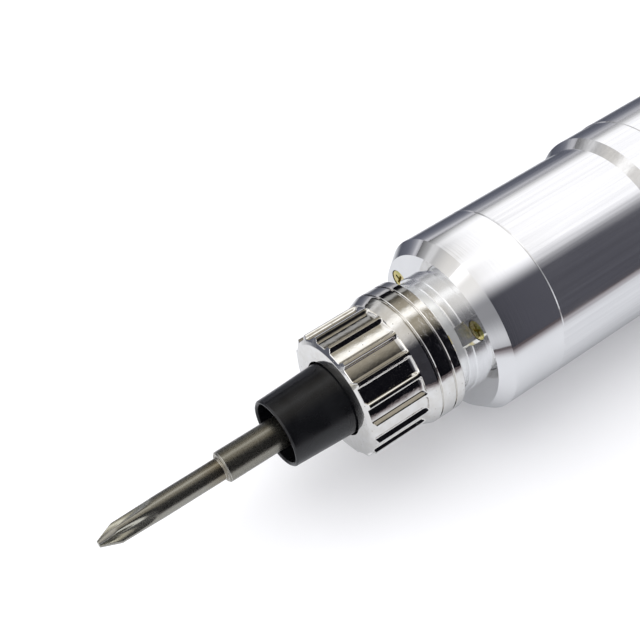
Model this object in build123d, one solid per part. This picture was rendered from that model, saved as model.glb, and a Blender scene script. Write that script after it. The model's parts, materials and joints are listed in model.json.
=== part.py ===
from build123d import *
import math
import os

# Electric torque screwdriver, lying on its side.
# The tool axis runs along X, from the bit tip at station 0 towards the cable socket.
# Angles are about the tool axis, from +Y towards +Z.
# Every solid is made about the axis itself, and main() then sets the tool down on the ground.

# Screwdriver bit
SHANK_R = 2.5
BLADE_STEP = 0.75
TIP_R = 0.5
TIP_CONE_STEP = 0.1
TIP_CONE_LENGTH = 3.0
BLADE_TAPER_LENGTH = 7.2
BLADE_LENGTH = 20.4
BIT_LENGTH = 49.5
BIT_FLUTE_LENGTH = 9.6
BIT_FLUTE_ROOT_R = 0.3
BIT_FLUTE_ANGLE = 52.0
BIT_FLUTE_COUNT = 4
BIT_TANG_LENGTH = 3.5
BIT_TANG_FLAT = 0.9
BIT_GROOVE_WIDTH = 2.1
BIT_GROOVE_DEPTH = 0.62

# Quick-release chuck
BIT_INSERTION = 19.6
SPINDLE_WALL = 1.7
SPINDLE_RECESS = 5.1
SPINDLE_FLANGE_LENGTH = 1.0
SPINDLE_PAST_FACE = 1.4
HEX_SOCKET_DEPTH = 8.2
SLEEVE_LENGTH = 13.4
SLEEVE_CONE_LENGTH = 10.3
SLEEVE_WALL = 1.4
SLEEVE_LIP = 0.65
SLEEVE_TAPER = 0.45
SLEEVE_TRAVEL = 2.5
BALL_R = 1.0
LOCK_BALL_DEPTH = 11.1
LOCK_BALL_COUNT = 2
SNAP_RING_WIDTH = 0.6
SNAP_RING_INSET = 0.4
SNAP_RING_GAP = 0.2
SNAP_GROOVE_DEPTH = 0.35
SLEEVE_SPRING_WIRE = 0.5
SLEEVE_SPRING_TURNS = 3.0
START_TRAVEL = 1.5

# Torque adjusting ring and its pusher
RING_FROM_SLEEVE = 10.6
RING_LENGTH = 16.7
FLUTED_LENGTH = 10.1
RING_CONE_LENGTH = 1.8
RING_MOUTH_GAP = 0.35
RING_SKIRT_WALL = 1.7
RING_GRIP_STEP = 0.7
RING_CHAMFER_LENGTH = 0.7
RING_CHAMFER_DEPTH = 1.4
RING_EDGE = 0.3
FLUTE_COUNT = 18
FLUTE_R = 2.1
FLUTE_DEPTH = 0.62
FLUTE_ANGLE = 8.0
RIB_EDGE = 0.4
SCALE_GROOVES = (12.3, 14.9)
SCALE_GROOVE_WIDTH = 0.3
SCALE_GROOVE_DEPTH = 0.28
PUSHER_RETREAT = 1.5
PUSHER_ADVANCE = 0.75
WASHER_THICKNESS = 0.75
PUSH_PIN_R = 0.6
PUSH_PIN_LAND = 0.35
PUSH_PIN_COUNT = 3
SEAT_THICKNESS = 1.0

# Nose and front cap
NOSE_WALL = 2.0
THREAD_WALL = 1.6
NECK_WALL = 1.2
NECK_EXPOSED = 4.4
SPIGOT_WALL = 0.7
CAP_CHAMFER_LENGTH = 2.2
CAP_CHAMFER_DEPTH = 1.65
CAP_LENGTH = 12.0
CAP_WALL = 4.4
FACE_SCREW_COUNT = 3
FACE_SCREW_ANGLE = 11.0
FACE_SCREW_LAND = 0.7
SCREW_HEAD_R = 1.6
SCREW_HEAD_HEIGHT = 1.2
SCREW_SHANK_R = 1.0
BUSH_WALL = 1.8
BUSH_LENGTH = 3.0

# Clutch and planetary gear
TORQUE_SPRING_WIRE = 1.3
TORQUE_SPRING_TURNS = 3.0
CLUTCH_PLATE_THICKNESS = 2.0
CLUTCH_BALL_LAND = 1.5
CLUTCH_BALL_COUNT = 6
CLUTCH_POCKET_DEPTH = 0.32
CLUTCH_POCKET_R = 0.78
GEAR_MODULE = 0.45
SUN_TEETH = 12
PLANET_TEETH = 18
RING_TEETH = 48
PLANET_COUNT = 3
ADDENDUM = 0.8
DEDENDUM = 1.15
BACKLASH = 0.09
GEAR_WIDTH = 3.8
GEAR_CASE_WALL = 2.2325
GEAR_CASE_LENGTH = 10.0
GEAR_CASE_WEB = 2.4
CARRIER_RIM = 1.25
CARRIER_THICKNESS = 1.2
CARRIER_HUB_R = 3.2
PLANET_PIN_R = 1.0
HEX_ACROSS_FLATS = 4.1

# Motor
MOTOR_PLATE = 3.0
CAN_WALL = 1.2
MAGNET_THICKNESS = 1.9
MAGNET_SPAN = 140.0
AIR_GAP = 0.75
ROTOR_INSET = 5.0
ROTOR_LENGTH = 32.0
ROTOR_SLOTS = 5
ROTOR_SLOT_R = 2.0
SHAFT_R = 1.9
SHAFT_BORE_R = 0.85
SHAFT_TAIL = 1.6
BEARING_R = 4.0
BEARING_WIDTH = 2.6
COMMUTATOR_R = 4.0
COMMUTATOR_INSET = 3.6
COMMUTATOR_END_GAP = 1.4
BRUSH_SIZE = 3.4
BRUSH_LENGTH = 4.4
BRUSH_MARGIN = 0.8

# Start rod and switch
ROD_R = 0.6
ROD_COLLAR_R = 1.9
ROD_COLLAR_LENGTH = 1.0
ROD_COLLAR_GAP = 1.6
START_SPRING_SPACE = 4.4
START_SPRING_WIRE = 0.35
START_SPRING_TURNS = 4.0
START_SWITCH_SIZE = (10.0, 6.0, 6.5)
START_SWITCH_DEPTH = 4.0

# Barrel, collar, rear housing and end cap
BARREL_WALL = 1.5
BARREL_EXPOSED = 22.7
BARREL_SPIGOT_LENGTH = 4.2
BARREL_SPIGOT_STEP = 0.2
COLLAR_STEP = 1.2
COLLAR_CHAMFER = 1.6
COLLAR_LENGTH = 7.8
COLLAR_SPIGOT = 5.0
REAR_STEP = 0.1
REAR_WALL = 2.0
SEAM_EDGE = 0.15
END_CAP_LENGTH = 12.0
END_CAP_EDGE = 2.2
END_CAP_SPIGOT = 6.0
END_CAP_SPIGOT_WALL = 2.5
END_CAP_POCKET = 2.0
END_CAP_SCREW_INSET = 3.0
END_CAP_SCREW_BITE = 1.6

# Electronics, direction switch and cable socket
BOARD_LENGTH = 48.0
BOARD_WIDTH = 20.0
BOARD_THICKNESS = 1.6
BOARD_BELOW_AXIS = 2.0
BOARD_FROM_SWITCH = 1.8
TRAY_WALL = 1.6
DIRECTION_SWITCH = (12.0, 7.0)
DIRECTION_FROM_END = 21.0
DIRECTION_TRAVEL = 2.0
KNOB_SIZE = 3.4
KNOB_PROUD = 1.3
KNOB_BASE_DROP = 2.44
KNOB_BASE_HEIGHT = 0.9
RELAY_SIZE = (15.0, 10.0, 7.0)
CAPACITOR_R = 3.2
CAPACITOR_LENGTH = 11.0
SOCKET_R = 6.4
SOCKET_WALL = 1.1
SOCKET_LENGTH = 15.0
SOCKET_PROUD = 4.0
SOCKET_PIN_R = 0.4
SOCKET_PIN_INSET = 1.8
SOCKET_PIN_COUNT = 5
SOCKET_NUT_RIM = 2.0
SOCKET_NUT_THICKNESS = 1.6
INSULATOR_LENGTH = 5.0

# Hanging bail
BAIL_WIRE_R = 1.2
BAIL_SIDE_GAP = 1.6
BAIL_LOOP = 10.8
BAIL_BEND_R = 2.0
BAIL_CORNER_R = 6.0
BAIL_PIN_DEPTH = 3.5

# Fits
RUNNING_GAP = 0.05
SLIDING_GAP = 0.07
SEAT_GAP = 0.05
FREE_GAP = 0.3

# Radii that follow from the sizes above, from the bit outwards
BLADE_R = SHANK_R - BLADE_STEP
TIP_CONE_R = BLADE_R - TIP_CONE_STEP
BIT_GROOVE_R = SHANK_R - BIT_GROOVE_DEPTH
SPINDLE_R = SHANK_R + SPINDLE_WALL
SLEEVE_BORE_R = SPINDLE_R + SLIDING_GAP
SLEEVE_FRONT_R = SPINDLE_R + SLEEVE_WALL
SLEEVE_MOUTH_R = SLEEVE_FRONT_R - SLEEVE_LIP
SLEEVE_REAR_R = SLEEVE_FRONT_R + SLEEVE_TAPER
SNAP_RING_R = SLEEVE_MOUTH_R - SNAP_RING_GAP
BUSH_R = SPINDLE_R + BUSH_WALL
SPINDLE_FLANGE_R = BUSH_R
RING_MOUTH_R = SLEEVE_REAR_R + RING_MOUTH_GAP
PUSH_PIN_CIRCLE_R = BUSH_R + PUSH_PIN_LAND + PUSH_PIN_R
NOSE_BORE_R = PUSH_PIN_CIRCLE_R + PUSH_PIN_R + PUSH_PIN_LAND
THREAD_R = NOSE_BORE_R + THREAD_WALL
NECK_R = NOSE_BORE_R + NECK_WALL
SPIGOT_R = NOSE_BORE_R + SPIGOT_WALL
RING_SKIRT_R = THREAD_R + RING_SKIRT_WALL
RING_GRIP_R = RING_SKIRT_R - RING_GRIP_STEP
FACE_SCREW_CIRCLE_R = SPIGOT_R + FACE_SCREW_LAND + SCREW_HEAD_R
CLUTCH_BALL_CIRCLE_R = NOSE_BORE_R - CLUTCH_BALL_LAND
WEB_BORE_R = CARRIER_HUB_R + BUSH_WALL
PLANET_CIRCLE_R = GEAR_MODULE * (SUN_TEETH + PLANET_TEETH) / 2
CARRIER_R = PLANET_CIRCLE_R + PLANET_PIN_R + CARRIER_RIM
CASE_R = GEAR_MODULE * (RING_TEETH / 2 + DEDENDUM) + GEAR_CASE_WALL
CAN_R = CASE_R
MAGNET_R = CAN_R - CAN_WALL
ROTOR_R = MAGNET_R - MAGNET_THICKNESS - AIR_GAP
BARREL_BORE_R = CASE_R + SEAT_GAP
BARREL_R = BARREL_BORE_R + BARREL_WALL
BARREL_SPIGOT_R = BARREL_R - BARREL_SPIGOT_STEP
FACE_R = BARREL_R - CAP_CHAMFER_DEPTH
COLLAR_R = BARREL_R + COLLAR_STEP
REAR_R = COLLAR_R + REAR_STEP
REAR_BORE_R = REAR_R - REAR_WALL
TRAY_FLOOR_R = REAR_BORE_R - SEAT_GAP
KNOB_BASE = REAR_BORE_R - KNOB_BASE_DROP
SOCKET_PIN_CIRCLE_R = SOCKET_R - SOCKET_WALL - SOCKET_PIN_INSET
SOCKET_NUT_R = SOCKET_R + SOCKET_NUT_RIM

# Stations that follow, from the bit tip to the cable socket
SLEEVE_FRONT = BIT_LENGTH - BIT_INSERTION
SLEEVE_REAR = SLEEVE_FRONT + SLEEVE_LENGTH
SPINDLE_FRONT = SLEEVE_FRONT + SPINDLE_RECESS
SNAP_RING_FRONT = SPINDLE_FRONT + SNAP_RING_INSET
SLEEVE_SHOULDER = SNAP_RING_FRONT + SNAP_RING_WIDTH + FREE_GAP
LOCK_BALL_STATION = SLEEVE_FRONT + LOCK_BALL_DEPTH
BIT_SEAT = BIT_LENGTH - BIT_TANG_LENGTH
SPINDLE_FLANGE = SLEEVE_REAR + SLEEVE_TRAVEL + 0.4
SPINDLE_FLANGE_REAR = SPINDLE_FLANGE + SPINDLE_FLANGE_LENGTH
RING_FRONT = SLEEVE_FRONT + RING_FROM_SLEEVE
RING_REAR = RING_FRONT + RING_LENGTH
RING_SHOULDER = SPINDLE_FLANGE_REAR + START_TRAVEL + FREE_GAP
WASHER_FRONT = RING_SHOULDER + SEAT_GAP
WASHER_REAR = WASHER_FRONT + WASHER_THICKNESS
NOSE_FRONT = WASHER_REAR + PUSHER_ADVANCE + 0.75
NOSE_WALL_REAR = NOSE_FRONT + NOSE_WALL
SEAT_FRONT = NOSE_WALL_REAR + PUSHER_RETREAT + 0.2
SEAT_REAR = SEAT_FRONT + SEAT_THICKNESS
FACE = RING_REAR + NECK_EXPOSED
CAP_REAR = FACE + CAP_LENGTH
SPINDLE_REAR = FACE + SPINDLE_PAST_FACE
HEX_BOTTOM = SPINDLE_REAR - HEX_SOCKET_DEPTH
HEX_FRONT = HEX_BOTTOM + START_TRAVEL + 1.2
CARRIER_HUB_FRONT = SPINDLE_REAR + START_TRAVEL + FREE_GAP
CASE_FRONT = FACE + CAP_WALL
CASE_REAR = CASE_FRONT + GEAR_CASE_LENGTH
CLUTCH_BALL_STATION = CASE_FRONT - 0.7 * BALL_R
CLUTCH_PLATE_REAR = CLUTCH_BALL_STATION - 0.7 * BALL_R
CLUTCH_PLATE_FRONT = CLUTCH_PLATE_REAR - CLUTCH_PLATE_THICKNESS
WEB_REAR = CASE_FRONT + GEAR_CASE_WEB
CARRIER_FRONT = WEB_REAR + 0.6
CARRIER_REAR = CARRIER_FRONT + CARRIER_THICKNESS
GEAR_FRONT = CARRIER_REAR + 0.2
GEAR_REAR = GEAR_FRONT + GEAR_WIDTH
MOTOR_FRONT = CASE_REAR
CAN_FRONT = MOTOR_FRONT + MOTOR_PLATE
ROTOR_FRONT = CAN_FRONT + ROTOR_INSET
ROTOR_REAR = ROTOR_FRONT + ROTOR_LENGTH
COMMUTATOR_FRONT = ROTOR_REAR + COMMUTATOR_INSET
COMMUTATOR_REAR = COMMUTATOR_FRONT + BRUSH_SIZE + 2 * BRUSH_MARGIN
CAN_REAR = COMMUTATOR_REAR + COMMUTATOR_END_GAP
MOTOR_REAR = CAN_REAR + MOTOR_PLATE
SHAFT_REAR = MOTOR_REAR + SHAFT_TAIL
COLLAR_FRONT = CAP_REAR + BARREL_EXPOSED
BARREL_REAR = COLLAR_FRONT + BARREL_SPIGOT_LENGTH
COLLAR_REAR = COLLAR_FRONT + COLLAR_LENGTH
ROD_FRONT = HEX_BOTTOM + SEAT_GAP
ROD_COLLAR = SHAFT_REAR + ROD_COLLAR_GAP
START_SPRING_FRONT = ROD_COLLAR + ROD_COLLAR_LENGTH
TRAY_FRONT = START_SPRING_FRONT + START_SPRING_SPACE
SWITCH_FRONT = TRAY_FRONT + TRAY_WALL
SWITCH_REAR = SWITCH_FRONT + START_SWITCH_SIZE[0]
BOARD_FRONT = SWITCH_REAR + BOARD_FROM_SWITCH
BOARD_TOP = -BOARD_BELOW_AXIS
TRAY_REAR = BOARD_FRONT + BOARD_LENGTH
REAR_END = TRAY_REAR + END_CAP_SPIGOT
CAP_END = REAR_END + END_CAP_LENGTH
DIRECTION_STATION = REAR_END - DIRECTION_FROM_END
SOCKET_REAR = CAP_END + SOCKET_PROUD
SOCKET_FRONT = SOCKET_REAR - SOCKET_LENGTH
INSULATOR_REAR = SOCKET_FRONT + INSULATOR_LENGTH + 1.0
BAIL_STATION = REAR_END + END_CAP_LENGTH / 2
BAIL_HALF_WIDTH = REAR_R + BAIL_SIDE_GAP + BAIL_WIRE_R
BAIL_REACH = REAR_R + BAIL_LOOP
BAIL_DROOP = math.degrees(math.asin((REAR_R - BAIL_WIRE_R) / BAIL_REACH))


def turned(*outline):
    """A solid of revolution about the tool axis. Each point is (station, radius)."""
    return revolve(make_face(Plane.XZ * Polyline(*outline, close=True)), Axis.X)


def tube(front, rear, outer, inner):
    return turned((front, inner), (rear, inner), (rear, outer), (front, outer))


def rod(front, rear, radius, angle=0.0, circle=0.0):
    """A round bar parallel to the tool axis, at an angle on a circle about it."""
    bar = Pos((front + rear) / 2, circle, 0) * Rot(0, 90, 0) * Cylinder(radius, rear - front)
    return Rot(angle, 0, 0) * bar


def ball(station, radius, angle, circle):
    return Rot(angle, 0, 0) * Pos(station, circle, 0) * Sphere(radius)


def around(count, start=0.0):
    """Evenly spaced angles about the tool axis."""
    return [start + 360.0 * i / count for i in range(count)]


def block(front, rear, low_y, high_y, low_z, high_z):
    size = (rear - front, high_y - low_y, high_z - low_z)
    return Pos((front + rear) / 2, (low_y + high_y) / 2, (low_z + high_z) / 2) * Box(*size)


def hexagon(front, rear, across_flats):
    outline = RegularPolygon(across_flats / math.sqrt(3), 6)
    return extrude(Plane.YZ.offset(front) * outline, rear - front)


def coil(front, rear, radius, wire, turns):
    """A compression spring of square wire between two seats, with its ends inside them."""
    start = front + 0.55 * wire
    length = rear - front - 1.1 * wire
    path = Helix(pitch=length / turns, height=length, radius=radius)
    section = Plane(origin=(radius, 0, 0), z_dir=(0, 1, 0)) * Rectangle(wire, wire)
    return Pos(start, 0, 0) * Rot(0, 90, 0) * sweep(section, path=path, is_frenet=True)


def gear_outline(teeth, addendum, dedendum, growth, phase):
    """Involute gear profile. growth widens each tooth, and phase turns the whole gear."""
    pitch_r = GEAR_MODULE * teeth / 2
    base_r = pitch_r * math.cos(math.radians(20))
    root_r = pitch_r - dedendum * GEAR_MODULE
    tip_r = pitch_r + addendum * GEAR_MODULE

    def involute(radius):
        pressure = math.acos(min(1.0, base_r / radius))
        return math.tan(pressure) - pressure

    def half_width(radius):
        at_pitch = math.pi / (2 * teeth) + growth / (2 * pitch_r)
        return at_pitch + involute(pitch_r) - involute(max(radius, base_r))

    radii = [root_r, max(root_r, base_r), pitch_r, tip_r]
    radii = sorted(set(radii))
    points = []
    for tooth in range(teeth):
        middle = math.radians(phase) + 2 * math.pi * tooth / teeth
        for radius in radii:
            points.append((radius, middle - half_width(radius)))
        for radius in reversed(radii):
            points.append((radius, middle + half_width(radius)))
    return Polyline(*[(r * math.cos(a), r * math.sin(a)) for r, a in points], close=True)


def gear_solid(front, rear, outline):
    return extrude(Plane.YZ.offset(front) * make_face(outline), rear - front, dir=(1, 0, 0))


# Bit and chuck


def screwdriver_bit():
    taper_end = TIP_CONE_LENGTH + BLADE_TAPER_LENGTH
    groove_front = LOCK_BALL_STATION - BIT_GROOVE_WIDTH / 2
    groove_rear = LOCK_BALL_STATION + BIT_GROOVE_WIDTH / 2
    edge = 0.25
    bit = turned(
        (0, 0), (0, TIP_R), (TIP_CONE_LENGTH, TIP_CONE_R), (taper_end, BLADE_R),
        (BLADE_LENGTH - edge, BLADE_R), (BLADE_LENGTH, BLADE_R + edge), (BLADE_LENGTH, SHANK_R - edge),
        (BLADE_LENGTH + edge, SHANK_R), (groove_front, SHANK_R), (groove_front, BIT_GROOVE_R),
        (groove_rear, BIT_GROOVE_R), (groove_rear, SHANK_R), (BIT_LENGTH, SHANK_R), (BIT_LENGTH, 0),
    )
    bit -= block(BIT_SEAT, BIT_LENGTH + 1, -SHANK_R, SHANK_R, BIT_TANG_FLAT, SHANK_R + 1)
    # A square bar turned on edge cuts each flute, and leans so that it runs out of the blade
    side = 2 * BLADE_R
    lean = math.degrees(math.atan2(BLADE_R - BIT_FLUTE_ROOT_R, BIT_FLUTE_LENGTH))
    cutter = Pos(0, 0, side / math.sqrt(2)) * Rot(45, 0, 0) * Box(4 * BIT_FLUTE_LENGTH, side, side)
    cutter = Pos(0, 0, BIT_FLUTE_ROOT_R) * Rot(0, -lean, 0) * cutter
    for angle in around(BIT_FLUTE_COUNT, BIT_FLUTE_ANGLE - 90):
        bit -= Rot(angle, 0, 0) * cutter
    return bit


def spindle():
    groove = SNAP_RING_FRONT
    bore = SHANK_R + RUNNING_GAP
    inner = SPINDLE_R - SNAP_GROOVE_DEPTH
    body = turned(
        (SPINDLE_FRONT, 0), (SPINDLE_FRONT, SPINDLE_R), (groove, SPINDLE_R), (groove, inner),
        (groove + SNAP_RING_WIDTH, inner), (groove + SNAP_RING_WIDTH, SPINDLE_R),
        (SPINDLE_FLANGE, SPINDLE_R), (SPINDLE_FLANGE, SPINDLE_FLANGE_R),
        (SPINDLE_FLANGE_REAR, SPINDLE_FLANGE_R), (SPINDLE_FLANGE_REAR, SPINDLE_R), (SPINDLE_REAR, SPINDLE_R),
        (SPINDLE_REAR, 0),
    )
    bit_hole = rod(SPINDLE_FRONT - 1, BIT_LENGTH + SEAT_GAP, bore)
    flat = BIT_TANG_FLAT + SEAT_GAP
    bit_hole -= block(BIT_SEAT + SEAT_GAP, BIT_LENGTH + 1, -SPINDLE_R, SPINDLE_R, flat, SPINDLE_R)
    body -= bit_hole
    body -= hexagon(HEX_BOTTOM, SPINDLE_REAR + 1, HEX_ACROSS_FLATS + 2 * RUNNING_GAP)
    for angle in around(LOCK_BALL_COUNT):
        hole = Pos(LOCK_BALL_STATION, SPINDLE_R, 0) * Rot(90, 0, 0) * Cylinder(BALL_R + SEAT_GAP, SPINDLE_R)
        body -= Rot(angle, 0, 0) * hole
    return body


def lock_balls():
    circle = BIT_GROOVE_R + BALL_R + 0.02
    return Compound([ball(LOCK_BALL_STATION, BALL_R, a, circle).solid() for a in around(LOCK_BALL_COUNT)])


def sleeve_snap_ring():
    front = SNAP_RING_FRONT + 0.02
    inner = SPINDLE_R - SNAP_GROOVE_DEPTH + 0.02
    ring = tube(front, front + SNAP_RING_WIDTH - 0.04, SNAP_RING_R, inner)
    return ring - block(front - 1, front + 2, 0, SNAP_RING_R + 1, -0.8, 0.8)


def bit_sleeve():
    """Tapered sleeve with a hollow mouth. Its inner relief lets the lock balls out when it is pulled back."""
    cone_rear = SLEEVE_FRONT + SLEEVE_CONE_LENGTH
    spring_pocket = SPINDLE_R + 2.7 * SLEEVE_SPRING_WIRE
    pocket_front = SLEEVE_REAR - 1.2
    relief_r = BIT_GROOVE_R + 2 * BALL_R + 1.4
    relief_front = LOCK_BALL_STATION - SLEEVE_TRAVEL - BALL_R - 0.4
    relief_rear = LOCK_BALL_STATION - BALL_R - 0.6
    edge = 0.25
    return turned(
        (SLEEVE_FRONT, SLEEVE_MOUTH_R + edge), (SLEEVE_FRONT, SLEEVE_FRONT_R - edge),
        (SLEEVE_FRONT + edge, SLEEVE_FRONT_R), (cone_rear, SLEEVE_REAR_R), (SLEEVE_REAR, SLEEVE_REAR_R),
        (SLEEVE_REAR, spring_pocket), (pocket_front, spring_pocket), (pocket_front, SLEEVE_BORE_R),
        (relief_rear, SLEEVE_BORE_R), (relief_rear - 0.5, relief_r), (relief_front, relief_r),
        (relief_front - 0.5, SLEEVE_BORE_R), (SLEEVE_SHOULDER, SLEEVE_BORE_R),
        (SLEEVE_SHOULDER, SLEEVE_MOUTH_R), (SLEEVE_FRONT + edge, SLEEVE_MOUTH_R),
    )


def sleeve_spring():
    radius = SPINDLE_R + 1.7 * SLEEVE_SPRING_WIRE
    return coil(SLEEVE_REAR - 1.2, SPINDLE_FLANGE, radius, SLEEVE_SPRING_WIRE, SLEEVE_SPRING_TURNS)


# Torque adjustment


def fluted_section():
    """Cross-section of the ring's grip: round flutes with a narrow rounded rib between each two."""
    section = Circle(RING_GRIP_R)
    centre = RING_GRIP_R - FLUTE_DEPTH + FLUTE_R
    for angle in around(FLUTE_COUNT, FLUTE_ANGLE):
        section -= Rot(0, 0, angle) * Pos(centre, 0, 0) * Circle(FLUTE_R)
    return fillet(section.vertices(), RIB_EDGE)


def torque_ring():
    grip_rear = RING_FRONT + FLUTED_LENGTH
    blank_r = RING_GRIP_R + FREE_GAP
    face_r = RING_GRIP_R - RING_CHAMFER_DEPTH
    chamfer_rear = RING_FRONT + (blank_r - face_r) * RING_CHAMFER_LENGTH / RING_CHAMFER_DEPTH
    thread_bore = THREAD_R + RUNNING_GAP
    outline = [
        (RING_FRONT, RING_MOUTH_R), (RING_FRONT, face_r), (chamfer_rear, blank_r), (grip_rear, blank_r),
        (grip_rear, RING_GRIP_R), (grip_rear + RING_CONE_LENGTH, RING_SKIRT_R),
    ]
    for groove in SCALE_GROOVES:
        front = RING_FRONT + groove - SCALE_GROOVE_WIDTH / 2
        rear = RING_FRONT + groove + SCALE_GROOVE_WIDTH / 2
        floor = RING_SKIRT_R - SCALE_GROOVE_DEPTH
        outline += [(front, RING_SKIRT_R), (front, floor), (rear, floor), (rear, RING_SKIRT_R)]
    outline += [
        (RING_REAR - RING_EDGE, RING_SKIRT_R), (RING_REAR, RING_SKIRT_R - RING_EDGE), (RING_REAR, thread_bore),
        (RING_SHOULDER, thread_bore), (RING_SHOULDER, RING_MOUTH_R),
    ]
    waste = Circle(RING_SKIRT_R + 1) - fluted_section()
    waste = extrude(Plane.YZ.offset(RING_FRONT - 1) * waste, FLUTED_LENGTH + 1, dir=(1, 0, 0))
    return turned(*outline) - waste


def thrust_washer():
    return tube(WASHER_FRONT, WASHER_REAR, THREAD_R - FREE_GAP, SPINDLE_FLANGE_R + 0.4)


def push_pins():
    pins = [rod(WASHER_REAR, SEAT_FRONT, PUSH_PIN_R, a, PUSH_PIN_CIRCLE_R) for a in around(PUSH_PIN_COUNT, 90)]
    return Compound([pin.solid() for pin in pins])


def spring_seat():
    return tube(SEAT_FRONT, SEAT_REAR, NOSE_BORE_R - FREE_GAP, BUSH_R + FREE_GAP)


def torque_spring():
    radius = NOSE_BORE_R - FREE_GAP - 0.6 * TORQUE_SPRING_WIRE
    return coil(SEAT_REAR, CLUTCH_PLATE_FRONT, radius, TORQUE_SPRING_WIRE, TORQUE_SPRING_TURNS)


def clutch_plate():
    plate = tube(CLUTCH_PLATE_FRONT, CLUTCH_PLATE_REAR, NOSE_BORE_R - SEAT_GAP, SPINDLE_R + 0.7)
    for angle in around(CLUTCH_BALL_COUNT):
        floor = CLUTCH_PLATE_REAR - CLUTCH_POCKET_DEPTH
        plate -= rod(floor, CLUTCH_PLATE_REAR + 1, CLUTCH_POCKET_R, angle, CLUTCH_BALL_CIRCLE_R)
    return plate


def clutch_balls():
    balls = [ball(CLUTCH_BALL_STATION, BALL_R, a, CLUTCH_BALL_CIRCLE_R) for a in around(CLUTCH_BALL_COUNT)]
    return Compound([one.solid() for one in balls])


# Nose and front cap


def nose_housing():
    thread_rear = RING_REAR - FREE_GAP
    spigot_rear = CASE_FRONT - 0.5
    edge = 0.25
    nose = turned(
        (NOSE_FRONT, BUSH_R), (NOSE_FRONT, THREAD_R - edge), (NOSE_FRONT + edge, THREAD_R),
        (thread_rear, THREAD_R), (thread_rear, NECK_R), (FACE, NECK_R), (FACE, SPIGOT_R),
        (spigot_rear, SPIGOT_R), (spigot_rear, NOSE_BORE_R), (NOSE_WALL_REAR, NOSE_BORE_R),
        (NOSE_WALL_REAR, BUSH_R),
    )
    for angle in around(PUSH_PIN_COUNT, 90):
        nose -= rod(NOSE_FRONT - 1, NOSE_WALL_REAR + 1, PUSH_PIN_R + RUNNING_GAP, angle, PUSH_PIN_CIRCLE_R)
    return nose


def spindle_bush():
    return tube(NOSE_FRONT, NOSE_FRONT + BUSH_LENGTH, BUSH_R, SPINDLE_R + RUNNING_GAP)


def screw_seat():
    """Station of the face under each screw head, which puts the heads a little below the front face."""
    return FACE + 0.1 + SCREW_HEAD_HEIGHT


def front_cap():
    bore = SPIGOT_R + SEAT_GAP
    cap = turned(
        (FACE, bore), (FACE, FACE_R), (FACE + CAP_CHAMFER_LENGTH, BARREL_R),
        (CAP_REAR - SEAM_EDGE, BARREL_R), (CAP_REAR, BARREL_R - SEAM_EDGE), (CAP_REAR, BARREL_BORE_R),
        (CASE_FRONT, BARREL_BORE_R), (CASE_FRONT, bore),
    )
    for angle in around(FACE_SCREW_COUNT, FACE_SCREW_ANGLE):
        cap -= rod(FACE - 1, screw_seat(), SCREW_HEAD_R + 0.15, angle, FACE_SCREW_CIRCLE_R)
        cap -= rod(FACE, CASE_FRONT + 1, SCREW_SHANK_R + SEAT_GAP, angle, FACE_SCREW_CIRCLE_R)
    return cap


def face_screws():
    """Cross-recess cheese-head screws that hold the front cap to the gear case."""
    head_front = screw_seat() - SCREW_HEAD_HEIGHT
    screw_rear = WEB_REAR - 0.4
    recess = 0.45
    screws = []
    for angle in around(FACE_SCREW_COUNT, FACE_SCREW_ANGLE):
        screw = rod(head_front, screw_seat(), SCREW_HEAD_R, angle, FACE_SCREW_CIRCLE_R)
        screw += rod(screw_seat(), screw_rear, SCREW_SHANK_R, angle, FACE_SCREW_CIRCLE_R)
        for turn in (0, 90):
            slot = Rot(turn, 0, 0) * block(head_front - 1, head_front + 0.6, -SCREW_SHANK_R, SCREW_SHANK_R,
                                           -recess / 2, recess / 2)
            screw -= Rot(angle, 0, 0) * Pos(0, FACE_SCREW_CIRCLE_R, 0) * slot
        screws.append(screw.solid())
    return Compound(screws)


# Planetary gear


def gear_case():
    """Ring gear with a front web that carries the clutch pockets and takes the face screws."""
    half_pitch = 180.0 / RING_TEETH
    teeth = gear_outline(RING_TEETH, DEDENDUM, ADDENDUM, BACKLASH, half_pitch)
    case = rod(CASE_FRONT, CASE_REAR, CASE_R)
    case -= gear_solid(WEB_REAR, CASE_REAR + 1, teeth)
    case -= rod(CASE_FRONT - 1, WEB_REAR + 1, WEB_BORE_R)
    for angle in around(CLUTCH_BALL_COUNT):
        floor = CASE_FRONT + CLUTCH_POCKET_DEPTH
        case -= rod(CASE_FRONT - 1, floor, CLUTCH_POCKET_R, angle, CLUTCH_BALL_CIRCLE_R)
    for angle in around(FACE_SCREW_COUNT, FACE_SCREW_ANGLE):
        case -= rod(CASE_FRONT - 1, WEB_REAR - 0.4, SCREW_SHANK_R + 0.02, angle, FACE_SCREW_CIRCLE_R)
    return case


def carrier_bush():
    return tube(CASE_FRONT, WEB_REAR, WEB_BORE_R, CARRIER_HUB_R + RUNNING_GAP)


def planet_carrier():
    carrier = turned(
        (CARRIER_HUB_FRONT, 0), (CARRIER_HUB_FRONT, CARRIER_HUB_R), (CARRIER_FRONT, CARRIER_HUB_R),
        (CARRIER_FRONT, CARRIER_R), (CARRIER_REAR, CARRIER_R), (CARRIER_REAR, 0),
    )
    carrier += hexagon(HEX_FRONT, CARRIER_HUB_FRONT + 0.5, HEX_ACROSS_FLATS)
    carrier -= rod(HEX_FRONT - 1, CARRIER_REAR + 1, SHAFT_BORE_R)
    for angle in around(PLANET_COUNT):
        carrier -= rod(CARRIER_FRONT - 1, CARRIER_REAR + 1, PLANET_PIN_R, angle, PLANET_CIRCLE_R)
    return carrier


def planet_pins():
    pins = [rod(CARRIER_FRONT, GEAR_REAR + 0.4, PLANET_PIN_R, a, PLANET_CIRCLE_R) for a in around(PLANET_COUNT)]
    return Compound([pin.solid() for pin in pins])


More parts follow.
